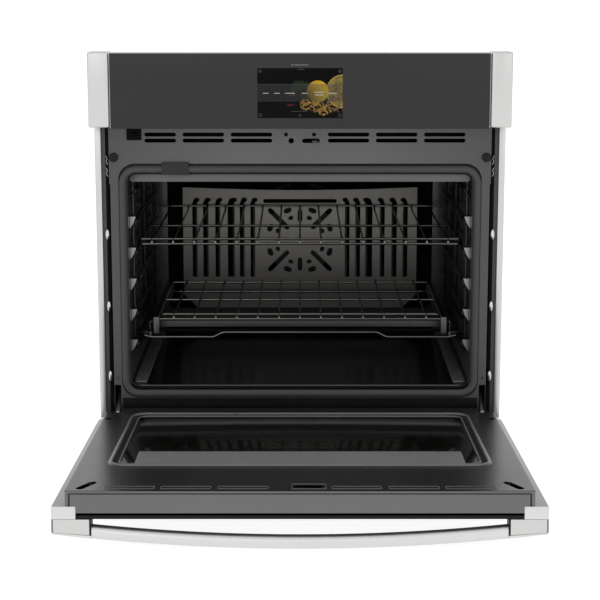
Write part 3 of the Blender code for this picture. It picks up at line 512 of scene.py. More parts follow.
def circuitBoard(name, boardTop=0.5925):
    # printed tracks on the board, and dark or pale parts standing above it
    paint = Finish(name)
    x, y, z = paint.axes()
    tracks = (((x * 900).sin() > 0.55) + ((y * 700).sin() > 0.7)).clip()
    blocks = paint.node("ShaderNodeSeparateColor", None, {0: paint.cells(60, "Color")})
    above = z > boardTop
    tint = paint.mix(tracks * 0.4, (0.015, 0.09, 0.035), (0.05, 0.22, 0.09))
    tint = paint.mix(above, tint, paint.mix(blocks > 0.5, (0.02, 0.02, 0.022), (0.2, 0.19, 0.16)))
    return paint.set(Base_Color=tint, Roughness=0.38 + tracks * 0.1,
                     Normal=paint.bump(tracks, 0.3, 0.0001))


def scorchedTube(name):
    paint = Finish(name)
    scale = paint.noise(90, 5)
    tint = paint.mix(scale, (0.012, 0.011, 0.011), (0.045, 0.038, 0.033))
    return paint.set(Base_Color=tint, Metallic=0.6, Roughness=0.45 + scale * 0.3,
                     Normal=paint.bump(scale, 0.3, 0.0002))


def lensGlass(name):
    paint = Finish(name)
    x, y, _ = paint.axes()
    ribs = (x * 900).sin() * (y * 900).sin()
    return paint.set(Base_Color=paint.mix(ribs * 0.5 + 0.5, (0.62, 0.62, 0.58), (0.86, 0.86, 0.8)),
                     Roughness=0.12, Specular_IOR_Level=0.6, Normal=paint.bump(ribs, 0.5, 0.0008))


def darkGlass(name, tone=(0.02, 0.02, 0.021), rough=0.05, specular=0.5, smear=0.03):
    paint = Finish(name)
    film = paint.noise(6, 4, (1, 1, 3))
    return paint.set(Base_Color=paint.mix(film, tone, shade(tone, 1.25)),
                     Roughness=rough + film * smear, Specular_IOR_Level=specular)


windowReflectionBand = {"start": 0.298, "half": 0.2685, "dark": 0.145, "pale": 0.175}


def windowGlassFinish(name):
    # smoked glass; a paler band near the edge that is at the top when the door is shut is a painted
    # reflection of the baffle
    paint = Finish(name)
    x, y, z = paint.axes()
    away = (y * -1.0 + hingeY) * math.sin(openAngle) + (z - hingeZ) * math.cos(openAngle)
    band = (away > windowReflectionBand["start"]) * (x > -windowReflectionBand["half"]) * (x < windowReflectionBand["half"])
    film = paint.noise(5, 4, (1, 1, 3))
    tint = paint.mix(film, (0.003, 0.003, 0.0028), (0.006, 0.0058, 0.005))
    tint = paint.mix(band, tint, paint.mix(film, grey(windowReflectionBand["dark"]), grey(windowReflectionBand["pale"])))
    return paint.set(Base_Color=tint, Roughness=0.06 + film * 0.05, Specular_IOR_Level=0.22)


displaySize = {"halfWidth": 0.0758, "low": 0.6155, "high": 0.7045, "bandLow": 0.6450, "bandHigh": 0.6760}


def controlGlassFinish(name):
    # smoked glass with a lit screen behind it: a pale band, six short bars, two round fruits and seeds
    paint = Finish(name)
    x, _, z = paint.axes()

    def box(left, right, low, high):
        return (x > left) * (x < right) * (z > low) * (z < high)

    def disc(centreX, centreZ, radius):
        return ((x - centreX) ** 2.0 + (z - centreZ) ** 2.0) < radius * radius

    def ring(centreX, centreZ, radius, width):
        return disc(centreX, centreZ, radius) * (1 - disc(centreX, centreZ, radius - width))

    size = displaySize
    half, low, high = size["halfWidth"], size["low"], size["high"]
    screen = box(-half, half, low, high)
    band = box(-half, half, size["bandLow"], size["bandHigh"])
    edge = box(-half, half, size["bandHigh"] - 0.0007, size["bandHigh"])
    film = paint.noise(5, 3)
    glass = paint.mix(film, grey(0.0345), grey(0.0360))
    peel = paint.noise(180, 3)
    clump = paint.noise(210, 3)
    wide = paint.noise(70, 3)
    fine = paint.node("ShaderNodeSeparateColor", None, {0: paint.cells(430, "Color")})
    leaf = ((wide > 0.50) * disc(0.004, 0.668, 0.020) * (z < 0.682)).clip()
    picture = paint.mix(leaf * 0.8, grey(0.0004), (0.010, 0.018, 0.006))
    pods = ((paint.noise(90, 3, (0.3, 1, 1.8)) > 0.55) * disc(-0.014, 0.647, 0.0115)).clip()
    picture = paint.mix(pods * 0.8, picture, (0.060, 0.010, 0.014))
    pile = disc(0.010, 0.640, 0.0105) + disc(0.026, 0.637, 0.011) + disc(0.042, 0.632, 0.012)
    seeds = (pile + disc(0.052, 0.633, 0.008)).clip() * (clump > 0.48) * (z < 0.649)
    picture = paint.mix(seeds * (0.2 + fine * 0.7), picture, (0.27, 0.165, 0.04))
    sliceTint = paint.mix(((peel - 0.35) * 3.0).clip(), (0.075, 0.060, 0.018), (0.20, 0.145, 0.035))
    sliceTint = paint.mix(ring(0.0765, 0.663, 0.030, 0.0016), sliceTint, (0.28, 0.20, 0.05))
    picture = paint.mix(disc(0.0765, 0.663, 0.030), picture, sliceTint)
    bowl = ring(0.060, 0.6405, 0.0125, 0.0045) * (clump > 0.42)
    picture = paint.mix(bowl.clip(), picture, paint.mix(fine, (0.16, 0.045, 0.022), (0.035, 0.085, 0.045)))
    ember = ((paint.cells(210) < 0.30) * disc(0.070, 0.640, 0.014)).clip()
    picture = paint.mix(ember * 0.7, picture, (0.26, 0.07, 0.025))
    shade = ((x - 0.0150) * 24.0 + (z - 0.648) * 14.0).clip()
    fruitTint = paint.mix(shade, (0.055, 0.030, 0.003), (0.36, 0.25, 0.022))
    fruitTint = paint.mix((z - 0.664) * 22.0, fruitTint, (0.42, 0.19, 0.012))
    picture = paint.mix(disc(0.0315, 0.663, 0.0195), picture, fruitTint)
    picture = paint.mix(band * 0.42, picture, grey(0.034))
    picture = paint.mix(edge * 0.5, picture, grey(0.07))
    marks = (ring(-0.0708, 0.6990, 0.0024, 0.0008) + ring(0.0708, 0.6990, 0.0026, 0.0009)
             + ring(-0.0708, 0.6210, 0.0028, 0.0007) + ring(0.0708, 0.6210, 0.0028, 0.0008)
             + ring(0.0, 0.6205, 0.0022, 0.0007) + box(-0.0045, 0.0075, 0.7018, 0.7026)
             + box(-0.0155, 0.0125, 0.6272, 0.6278)).clip()
    bars = box(-0.066, -0.056, 0.6592, 0.6604)
    for left, right, level in ((-0.046, -0.036, 0.6592), (-0.0265, -0.0095, 0.6592),
                               (0.0035, 0.0135, 0.6592), (0.0255, 0.0425, 0.6612),
                               (0.0265, 0.0415, 0.6562), (0.0505, 0.0655, 0.6592)):
        bars = bars + box(left, right, level, level + 0.0012)
    picture = paint.mix(marks * 0.45, picture, grey(0.14))
    picture = paint.mix(bars.clip() * 0.75, picture, grey(0.42))
    caption = box(-0.0155, -0.0125, 0.7090, 0.7106) + box(-0.0105, 0.0150, 0.7094, 0.7103)
    glass = paint.mix(caption.clip() * 0.8, glass, grey(0.30))
    tint = paint.mix(screen, glass, picture)
    glow = paint.mix(screen, grey(0.0), picture)
    return paint.set(Base_Color=tint, Roughness=0.14 + film * 0.06, Specular_IOR_Level=0.07,
                     Emission_Color=glow, Emission_Strength=0.2)


finishes = {
    "steelAcross": brushedSteel("brushed steel across", grey(0.625), "x", 0.38),
    "steelUp": brushedSteel("brushed steel upright", grey(0.545), "z"),
    "steelCap": brushedSteel("brushed steel end face", grey(0.60), "x"),
    # return steel: a darker copy of the brushed steel, painted shade on faces turned away from the light
    "steelShadedReturn": brushedSteel("brushed steel return painted shade", grey(0.30), "y"),
    # grey enamel: painted shade, darker from the middle out towards the sides
    "enamel": enamelCoat("grey enamel", grey(0.084), 0.28, paintedLightFade=(0, 0.12, 0.352, 0.56)),
    # foot enamel: near black, painted shade over the frame's foot
    "footShadeEnamel": enamelCoat("painted shade foot enamel", grey(0.004), 0.4, 0.1, specular=0.1),
    "doorEnamel": enamelCoat("door pan enamel", grey(0.016), 0.26, 0.12),
    "topPlate": enamelCoat("door top plate enamel", grey(0.105), 0.35),
    # pale enamel: painted highlight on the mouth's lip and sill and on the baffle's flaps
    "highlightEnamel": enamelCoat("pale enamel painted highlight", grey(0.11), 0.4),
    # ridge enamel: paler than the door pan, painted highlight on the bead ridges
    "ridge": enamelCoat("ridge enamel painted highlight", grey(0.115), 0.3, 0.1),
    # baffle enamel: painted shade, darker from z 0.365 down to 0.195, where it is a tenth as bright
    "baffleEnamel": enamelCoat("baffle enamel", (0.39, 0.37, 0.335), 0.4, paintedLightFade=(2, 0.365, 0.195, 0.10)),
    # black speckled enamel: painted light, nine times lighter beyond x 0.3158, on the cavity's side walls
    # and the sides of its mouth
    "liner": enamelCoat("black speckled enamel", grey(0.0042), 0.16, 0.3, 650, 0.05, 0.14,
                        (0, 0.3150, 0.3158, 9.0)),
    "ledge": enamelCoat("ledge enamel", grey(0.085), 0.3),
    "black": enamelCoat("black paint", grey(0.0015), 0.6, 0.0, 900, 0.1, 0.06),
    "trimPaint": enamelCoat("dark trim paint", grey(0.030), 0.42, 0.05),
    "zinc": zincSheet("galvanised sheet"),
    "fanPaint": plainMetal("darkened fan sheet", grey(0.03), 0.5, 0.3, 0.5),
    "chrome": plainMetal("plated wire", (0.115, 0.112, 0.105), 0.2),
    "darkChrome": plainMetal("darkened wire", (0.040, 0.039, 0.037), 0.25),
    "screw": plainMetal("screw steel", grey(0.60), 0.2),
    "zincScrew": plainMetal("zinc screw", (0.36, 0.365, 0.37), 0.3),
    "bareSteel": plainMetal("bare steel", grey(0.28), 0.3),
    "darkSteel": plainMetal("dark steel", grey(0.07), 0.35),
    "motor": plainMetal("motor steel", grey(0.12), 0.42, 0.3),
    "plastic": plastic("black plastic", grey(0.005)),
    "clip": enamelCoat("gasket clip paint", grey(0.022), 0.5, 0.05, specular=0.2),
    "heater": scorchedTube("heater sheath"),
    "wool": woolBlanket("glass wool"),
    "braid": braid("gasket braid"),
    "board": circuitBoard("circuit board"),
    "lens": lensGlass("lamp lens glass"),
    "doorGlass": darkGlass("black door glass", grey(0.0035), 0.06, 0.18),
    "windowGlass": windowGlassFinish("window glass"),
    "middleGlass": darkGlass("middle pane glass", (0.03, 0.032, 0.03), 0.08),
    "controls": controlGlassFinish("control panel glass"),
}
print("finishes made:", len(finishes))


# control panel

panel = {"capEdge": 0.0030, "glassEdge": 0.0012}
addPiece("control_glass_front", [blockLike("control_glass", panel["glassEdge"])],
         "controls", "root", ["control_glass"])
for side in ("left", "right"):
    addPiece("end_cap_cover_" + side, [blockLike("end_cap_" + side, panel["capEdge"], 4)],
             "steelUp", "root", ["end_cap_" + side])
print("control panel made")


# front frame, trims and gasket

frontPlate = {"outer": 0.3487, "low": 0.050, "high": 0.596, "face": 0.0030, "back": 0.0015,
              "holeHalf": 0.332, "holeLow": 0.087, "holeHigh": 0.5275, "holeRadius": 0.030,
              "slotRows": (0.5808, 0.5698), "slotHeight": 0.0072,
              "slots": ((0.0505, 0.126), (0.138, 0.2135), (0.2255, 0.301)), "lastLeft": 0.283,
              "stepBelow": 0.490, "step": 0.347}


duct = {"spans": ((0.0612, 0.3100), (-0.2860, -0.0440)), "back": -0.0290, "backFace": -0.0278,
        "low": 0.5600, "floor": 0.5612, "roof": 0.5903, "high": 0.5915, "mouth": 0.0008}


def makeFrontFrame():
    p = frontPlate
    face, back = p["face"], p["back"]
    outer = (p["outer"], p["low"], p["high"], 0.0012)
    hole = (p["holeHalf"], p["holeLow"], p["holeHigh"], p["holeRadius"])
    plate = nestedRings([(*outer, back), (*outer, face), (*hole, face), (*hole, back)], 10, loop=True)
    item = addPiece("front_frame_plate", [plate], "enamel", "root", ["front_frame"])

    def through(outline):
        return prism(outline, back - 0.01, face + 0.01)

    holes = []
    for z in p["slotRows"]:
        for left, right in p["slots"]:
            far = p["lastLeft"] if right > 0.3 else right
            for a, b in ((left, right), (-far, -left)):
                holes.append(through(stadium(b - a, p["slotHeight"], ((a + b) / 2, z))))
    # the latch slot, a round pin hole and the door switch's opening
    holes.append(through(stadium(0.032, 0.008, (0.020, 0.5695))))
    holes.append(through(stadium(0.010, 0.00999, (-0.016, 0.5695))))
    holes.append(through([(-0.3155, 0.5705), (-0.2885, 0.5705), (-0.2885, 0.5925), (-0.3155, 0.5925)]))
    for x in (-0.3405, 0.3405):
        # the hinge arm's tall slot, with a small hole above it
        holes.append(through(stadium(0.004, 0.00399, (x, 0.124))))
        holes.append(through([(x - 0.006, 0.0575), (x + 0.006, 0.0575),
                              (x + 0.006, 0.111), (x - 0.006, 0.111)]))
    cutAway(item, holes)
    cutAway(item, onBothSides([through([(p["step"], 0.040), (0.36, 0.040), (0.36, p["stepBelow"]),
                                        (p["step"], p["stepBelow"])])]))
    roundEdges(item, 0.0005)
    head = [(0.0001, 0.0014), (0.0022, 0.0012), (0.0034, 0.0004), (0.0036, 0), (0.0001, 0)]
    screws = [turned(head, (x, face, 0.581), sides=24) for x in (-0.0255, 0.0255)]
    addPiece("vent_screws", screws, "black", "root")
    # the duct behind the vents: a back, a floor and a top
    ducts = []
    t = duct
    for low, high in t["spans"]:
        for bottom, proud, top in ((t["low"], t["backFace"], t["high"]), (t["low"], t["mouth"], t["floor"]),
                                   (t["roof"], t["mouth"], t["high"])):
            ducts.append(roundedBlock((low, t["back"], bottom), (high, proud, top), 0.0004))
    ducts.append(roundedBlock((-0.0430, -0.0318, 0.5560), (0.0620, -0.0311, 0.5748), 0.0003))
    # black sheets behind the hinge slots: painted shade
    ducts += onBothSides([roundedBlock((0.3240, -0.0318, 0.0560), (0.3495, -0.0311, 0.1120), 0.0003)])
    addPiece("vent_duct", ducts, "black", "root")
    # a near-black strip over the frame's foot, below the hole: painted shade and painted reflection of the
    # door
    foot = roundedBlock((-0.3320, p["face"] - 0.0002, p["low"] + 0.001),
                        (0.3320, p["face"] + 0.0004, 0.0865), 0.0003)
    addPiece("front_frame_foot_shade", [foot], "footShadeEnamel", "root")


gasket = {"inner": 0.3174, "low": 0.0955, "high": 0.51725, "corner": 0.026, "radius": 0.0064,
          "proud": 0.0030}


def makeGasket():
    # a braided tube run round half way between the frame's hole and the cavity's mouth
    g = gasket
    half = (frontPlate["holeHalf"] + g["inner"]) / 2
    ring = roundedRect(half, g["low"], g["high"], g["corner"], 14)
    # the crown is a little flattened, as where the door presses it
    profile = g["radius"] * (circle(18) * [1, 0.98])
    loop = at(ring[:, 0], g["proud"], ring[:, 1])
    addPiece("gasket_braid_ring", [sweepProfile(loop, profile, True)], "braid", "root",
             ["door_gasket"])
    tab = roundedBlock((-0.2515, 0.0034, 0.508), (-0.2025, 0.0099, 0.5300), 0.0006)
    addPiece("gasket_clip", [tab], "clip", "root")


sideTrim = {"screwX": 0.3545, "screwZ": (0.396, 0.261, 0.128), "channelOuter": 0.3550, "plateOuter": 0.3732}


def makeSideTrims(side):
    sign = 1 if side == "right" else -1
    addPiece("side_trim_strip_" + side, [blockLike("side_trim_" + side, 0.0010)],
             "steelUp", "root", ["side_trim_" + side])
    x0, x1, p0, p1, z0, z1 = span("mounting_trim_" + side)
    inner = min(abs(x0), abs(x1))
    edge = sideTrim["channelOuter"]
    low, high = sorted((sign * edge, sign * sideTrim["plateOuter"]))
    plate = addPiece("mounting_trim_plate_" + side, [roundedBlock((low, p0, z0), (high, p1, z1), 0.0003)],
                     "trimPaint", "root", ["mounting_trim_" + side])
    pockets = []
    screws = []
    for z in sideTrim["screwZ"]:
        x = sign * sideTrim["screwX"]
        hexagon = [(x - 0.0045, z - 0.009), (x, z - 0.015), (x + 0.0045, z - 0.009),
                   (x + 0.0045, z + 0.009), (x, z + 0.015), (x - 0.0045, z + 0.009)]
        pockets.append(prism(hexagon, 0.0006, 0.004))
        arc = np.linspace(0, math.pi / 2, 7)
        dome = [(0.0044 * math.cos(a) + nearAxis, 0.0004 + 0.0036 * math.sin(a)) for a in arc]
        screws.append(turned([(nearAxis, 0.0)] + [(0.0044, 0.0)] + dome, (x, 0.0, z), sides=28, squash=2.3))
    cutAway(plate, pockets)
    roundEdges(plate, 0.0003)
    addPiece("mounting_screws_" + side, screws, "screw", "root")
    springs = []
    for z in (0.5330, 0.5110):
        springs.append(wire([(sign * 0.3545, 0.0022, z + 0.009), (sign * 0.3508, 0.0030, z + 0.004),
                             (sign * 0.3540, 0.0036, z - 0.001), (sign * 0.3506, 0.0028, z - 0.007)],
                            0.0009, 0.003, 8, 4))
    addPiece("edge_spring_" + side, springs, "bareSteel", "root")
    low, high = sorted((sign * inner, sign * (edge + 0.0008)))
    channel = roundedBlock((low, p0, z0 + 0.001), (high, 0.0004, z1 - 0.001), 0.0002)
    addPiece("trim_channel_" + side, [channel], "black", "root")
    bumper = turned([(nearAxis, 0.0086), (0.0060, 0.0086), (0.0080, 0.0078), (0.0084, 0.0060),
                     (0.0084, 0.0034), (nearAxis, 0.0034)], (sign * 0.340, 0.0, 0.539), sides=36)
    addPiece("bumper_pad_" + side, [bumper], "plastic", "root",
             ["door_bumper_" + side])


makeFrontFrame()
makeGasket()
for side in ("left", "right"):
    makeSideTrims(side)
print("front made")


# cavity

cavity = {"half": 0.3166, "floor": 0.1084, "mouthHigh": 0.5072, "ceiling": 0.5385, "back": -0.4885,
          "chamberHalf": 0.2845, "chamberLow": 0.150, "chamberHigh": 0.435, "chamberBack": -0.5135}


def makeLiner():
    c = cavity
    mouth = (c["half"], c["floor"], c["mouthHigh"], 0.018)
    room = (c["half"], c["floor"], c["ceiling"], 0.016)
    inner = (c["chamberHalf"], c["chamberLow"], c["chamberHigh"], 0.012)
    rows = [(0.3355, 0.0835, 0.5545, 0.028, -0.0042), (0.3200, 0.1035, 0.5120, 0.020, -0.0043),
            (0.3176, 0.1070, 0.5086, 0.019, -0.0047), (*mouth, -0.0060), (*mouth, -0.0150),
            (c["half"], c["floor"], c["ceiling"] - 0.001, 0.016, -0.0180),
            (*room, -0.0195), (*room, c["back"] + 0.006),
            (c["half"] - 0.0012, c["floor"] + 0.0012, c["ceiling"] - 0.0012, 0.015, c["back"] + 0.0015),
            (c["half"] - 0.006, c["floor"] + 0.006, c["ceiling"] - 0.006, 0.012, c["back"]),
            (c["chamberHalf"] + 0.002, c["chamberLow"] - 0.002, c["chamberHigh"] + 0.002, 0.012, c["back"]),
            (*inner, c["back"] - 0.002), (*inner, c["chamberBack"] + 0.004),
            (c["chamberHalf"] - 0.004, c["chamberLow"] + 0.004, c["chamberHigh"] - 0.004, 0.010,
             c["chamberBack"])]
    shell = nestedRings(rows, 8, capLast=True)
    item = addPiece("oven_liner_shell", [shell], "liner", "root", ["cavity_liner"])
    thicken(item, 0.0012)  # the faces look into the room, so the wall grows behind them


def makeCavityTrim():
    c = cavity
    ledge = roundedBlock((0.2885, c["back"] + 0.002, c["floor"] - 0.0005), (0.3160, -0.022, 0.1122),
                         0.0018)
    addPiece("floor_ledges", onBothSides([ledge]), "ledge", "root")
    # a black lining inside the fan chamber's recess: painted shade
    rows = [(c["chamberHalf"] - gap, c["chamberLow"] + gap, c["chamberHigh"] - gap, 0.012, proud)
            for gap, proud in ((0.0004, c["back"] - 0.003), (0.0006, c["chamberBack"] + 0.001))]
    chamber = nestedRings(rows, 6, capLast=True)
    addPiece("fan_chamber_shade_lining", [chamber], "black", "root")
    # the ceiling lip is pale: a painted highlight along the mouth's top edge
    lip = nestedRings([(0.3132, 0.4925, 0.5060, 0.0055, -0.0156), (0.3140, 0.4917, 0.5068, 0.0062, -0.0160),
                       (0.3140, 0.4917, 0.5068, 0.0062, -0.0172)], 6, capFirst=True, capLast=True)
    addPiece("ceiling_lip", [lip], "highlightEnamel", "root")
    strip = roundedBlock((0.2860, c["back"] + 0.0002, 0.150), (0.3130, c["back"] + 0.0012, 0.530), 0.0005)
    # the sill edge is pale: a painted highlight along the mouth's lower edge
    sill = roundedBlock((-0.3000, -0.0032, c["floor"] - 0.0002), (0.3000, -0.0014, c["floor"] + 0.0012),
                        0.0004)
    addPiece("floor_sill_edge", [sill], "highlightEnamel", "root")
    addPiece("rear_wall_strips", onBothSides([strip]), "enamel", "root")


baffle = {"half": 0.251, "low": 0.155, "shoulder": 0.418, "dip": 0.006, "corner": 0.03, "front": -0.4620,
          "thick": 0.0014, "slotLow": 0.223, "slotHigh": 0.391, "fanZ": 0.304,
          "slots": ((0.2259, 0.0105), (0.2023, 0.0115), (0.1767, 0.0105), (0.1478, 0.0150),
                    (0.1241, 0.0105), (0.1013, 0.0100))}  # each slot's place and width


def makeBaffle():
    b = baffle
    t = np.linspace(0, 1, 25)
    arc = np.stack([b["half"] - 2 * b["half"] * t, b["shoulder"] - b["dip"] * np.sin(math.pi * t)], axis=-1)
    foot = np.array([(-b["half"], b["low"] + b["corner"]), (b["corner"] - b["half"], b["low"]),
                     (b["half"] - b["corner"], b["low"]), (b["half"], b["low"] + b["corner"])])
    outline = np.concatenate([arc, foot])
    plate = prism(outline, b["front"] - b["thick"], b["front"])
    feet = [turned([(nearAxis, -0.0265), (0.005, -0.0265), (0.005, 0.0), (nearAxis, 0.0)],
                   (x, b["front"] - 0.0008, z), sides=16) for x in (-0.235, 0.235) for z in (0.20, 0.36)]
    item = addPiece("rear_baffle_plate", [plate], "baffleEnamel", "root",
                    ["rear_baffle"])
    low, high = b["front"] - 0.02, b["front"] + 0.02
    holes = []
    for x, width in b["slots"]:
        for sign in (-1, 1):
            # a tall slot whose top hooks in towards the middle
            a, c, top = x - width / 2, x + width / 2, b["slotHigh"]
            slope = [(sign * a, b["slotLow"]), (sign * c, b["slotLow"]), (sign * c, top - 0.008),
                     (sign * (c - 0.004), top + 0.002), (sign * (a + 0.002), top + 0.005),
                     (sign * (a - 0.005), top + 0.003), (sign * (a - 0.005), top - 0.002),
                     (sign * a, top - 0.006)]
            holes.append(prism(slope, low, high))
    holes.append(prism(stadium(0.158, 0.0085, (0, 0.3885)), low, high))
    # the fan grille: a star of long slots on the diagonals, with short ones above and below
    for turn in (1, 2, 3, 5, 6, 7):
        angle = math.radians(turn * 45)
        middle, length = (0.065, 0.062) if turn % 2 else (0.053, 0.030)
        centre = (middle * math.cos(angle), b["fanZ"] + middle * math.sin(angle))
        holes.append(prism(stadium(length, 0.0105, centre, angle, 3), low, high))
    for turn in range(8):
        angle = math.radians(22.5 + turn * 45)
        for reach, width, height in ((0.069, 0.019, 0.011), (0.0515, 0.012, 0.009)):
            centre = (reach * math.cos(angle), b["fanZ"] + reach * math.sin(angle))
            holes.append(prism(stadium(width, height, centre, angle + math.pi / 2, 3), low, high))
    cutAway(item, holes)
    roundEdges(item, 0.0003)
    addPiece("baffle_feet", feet, "black", "root")
    # a pressed flap stands beside each tall slot, bent back into the duct; its pale enamel is a painted
    # highlight on the lit side
    flaps = []
    for x, width in b["slots"]:
        a = x - width / 2
        flap = prism([(a - 0.0002, b["front"] - 0.0010), (a + 0.0040, b["front"] - 0.0080),
                      (a + 0.0048, b["front"] - 0.0080), (a + 0.0008, b["front"] - 0.0004)],
                     b["slotLow"] + 0.001, b["slotHigh"] - 0.008, "z")
        flaps.append(flap)
    addPiece("baffle_flaps", onBothSides(flaps), "highlightEnamel", "root")


makeLiner()
makeCavityTrim()
makeBaffle()
print("cavity made")


# racks

rackLevels = [0.190 + 0.0586 * step for step in range(6)]
guide = {"front": -0.0335, "rear": -0.4545, "railX": 0.3035, "wire": 0.0023, "bendX": 0.3125,
         "lowX": 0.3105, "drop": 0.0205, "postX": 0.3120, "postLow": 0.166, "postHigh": 0.500,
         "posts": (-0.0485, -0.2440, -0.4425), "studX": 0.3115, "studs": (0.2245, 0.4595)}
wirePitch = 0.0397  # from one rack wire to the next


def wirePlaces(count):
    # evenly spaced about the middle
    return (np.arange(count) - (count - 1) / 2) * wirePitch


def wireTips(places, proud, z):
    # a small domed cap on the front end of every wire
    tip = [(nearAxis, 0.0010), (0.0014, 0.0007), (0.0020, 0.0), (0.0020, -0.0010), (nearAxis, -0.0012)]
    return [turned(tip, (x, proud, z), sides=12) for x in places]


def makeRackSupport(side):
    g = guide
    r = g["wire"]
    parts = []
    for proud in g["posts"]:
        parts.append(wire([(g["postX"], proud, g["postLow"]), (g["postX"], proud, g["postHigh"])], r, 0))
    for z in rackLevels:
        top, low = z - r, z - g["drop"]
        # the upper rail, bent down at both ends to meet a lower rail nearer the wall
        x, bend = g["railX"], g["bendX"]
        parts.append(wire([(bend, g["front"] - 0.001, low), (x, g["front"] - 0.0015, top - 0.004),
                           (x, g["front"] - 0.016, top), (x, g["rear"] + 0.016, top),
                           (x, g["rear"] + 0.003, top - 0.004), (bend, g["rear"] + 0.0025, low)],
                          r, 0.008))
        x = g["lowX"]
        parts.append(wire([(x, g["front"] - 0.004, low), (x, g["rear"] + 0.004, low)], r, 0))
    # studs hold the front and rear posts to the wall
    for proud in (g["posts"][0], g["posts"][-1]):
        for z in g["studs"]:
            parts.append(turned([(nearAxis, 0.0), (0.0028, 0.0), (0.0028, 0.0045), (0.0042, 0.0045),
                                 (nearAxis, 0.0052)], (g["studX"], proud, z), "x", 14))
    plates = []
    for z in rackLevels[:-1]:
        # the rail's front end plate, wide at the top and tapering down the wall
        plates.append(prism([(0.3162, z - 0.0001), (0.3052, z - 0.0001), (0.3094, z - 0.0120),
                             (0.3162, z - 0.0225)], g["front"] + 0.0030, g["front"] + 0.0040))
    if side == "left":
        parts = [mirrored(part) for part in parts]
        plates = [mirrored(plate) for plate in plates]
    addPiece("rack_ladder_" + side, parts, "darkChrome", "root",
             ["rack_support_" + side])
    addPiece("rack_ladder_ends_" + side, plates, "bareSteel", "root")


upperRack = {"base": rackLevels[3] + 0.0028, "front": -0.055, "middle": -0.260, "rear": -0.456,
             "half": 0.3065, "wire": 0.0024, "thin": 0.0019, "count": 15}


def makeUpperRack():
    u = upperRack
    r, base = u["wire"], u["base"]
    top = base + 0.0095
    parts = [wire([(-u["half"] + 0.003, u["middle"], base), (u["half"] - 0.003, u["middle"], base)], r, 0)]
    # one bar round the rack, its front corners turned
    edge, near, stop = u["half"] - r, u["front"], u["rear"] + 0.0004
    parts.append(wire([(-edge, stop, base), (-edge, near, base), (edge, near, base), (edge, stop, base)],
                      r, 0.010))
    parts.append(wire([(-edge, near - 0.012, base), (-edge + 0.002, near + 0.0006, top),
                       (edge - 0.002, near + 0.0006, top), (edge, near - 0.012, base)], r, 0.006))
    # the raised back stop
    parts.append(wire([(-0.3022, stop, base + 0.001), (-0.3022, stop, base + 0.0105),
                       (0.3022, stop, base + 0.0105), (0.3022, stop, base + 0.001)], r, 0.006))
    addPiece("upper_rack_bars", parts, "chrome", "upper_rack", ["upper_rack"])
    wires = []
    places = wirePlaces(u["count"])
    for x in places:
        wires.append(wire([(x, u["front"] + 0.0030, base + 0.0045), (x, u["front"] + 0.0012, top + 0.0030),
                           (x, u["front"] - 0.010, base + r + u["thin"] + 0.0010),
                           (x, u["rear"] + 0.0180, base + r + u["thin"] - 0.0002),
                           (x, u["rear"] + 0.0043, base + 0.0112)], u["thin"], 0.004, 8, 4))
    addPiece("upper_rack_wires", wires, "darkChrome", "upper_rack")
    addPiece("upper_rack_tips", wireTips(places, u["front"] + 0.0030, base + 0.0042),
             "screw", "upper_rack")


glideRack = {"base": rackLevels[0] + 0.0028, "front": -0.040, "rear": -0.452, "wire": 0.0023,
             "topHalf": 0.2690, "topFront": -0.050, "topMiddle": -0.220, "topRear": -0.392, "count": 13}


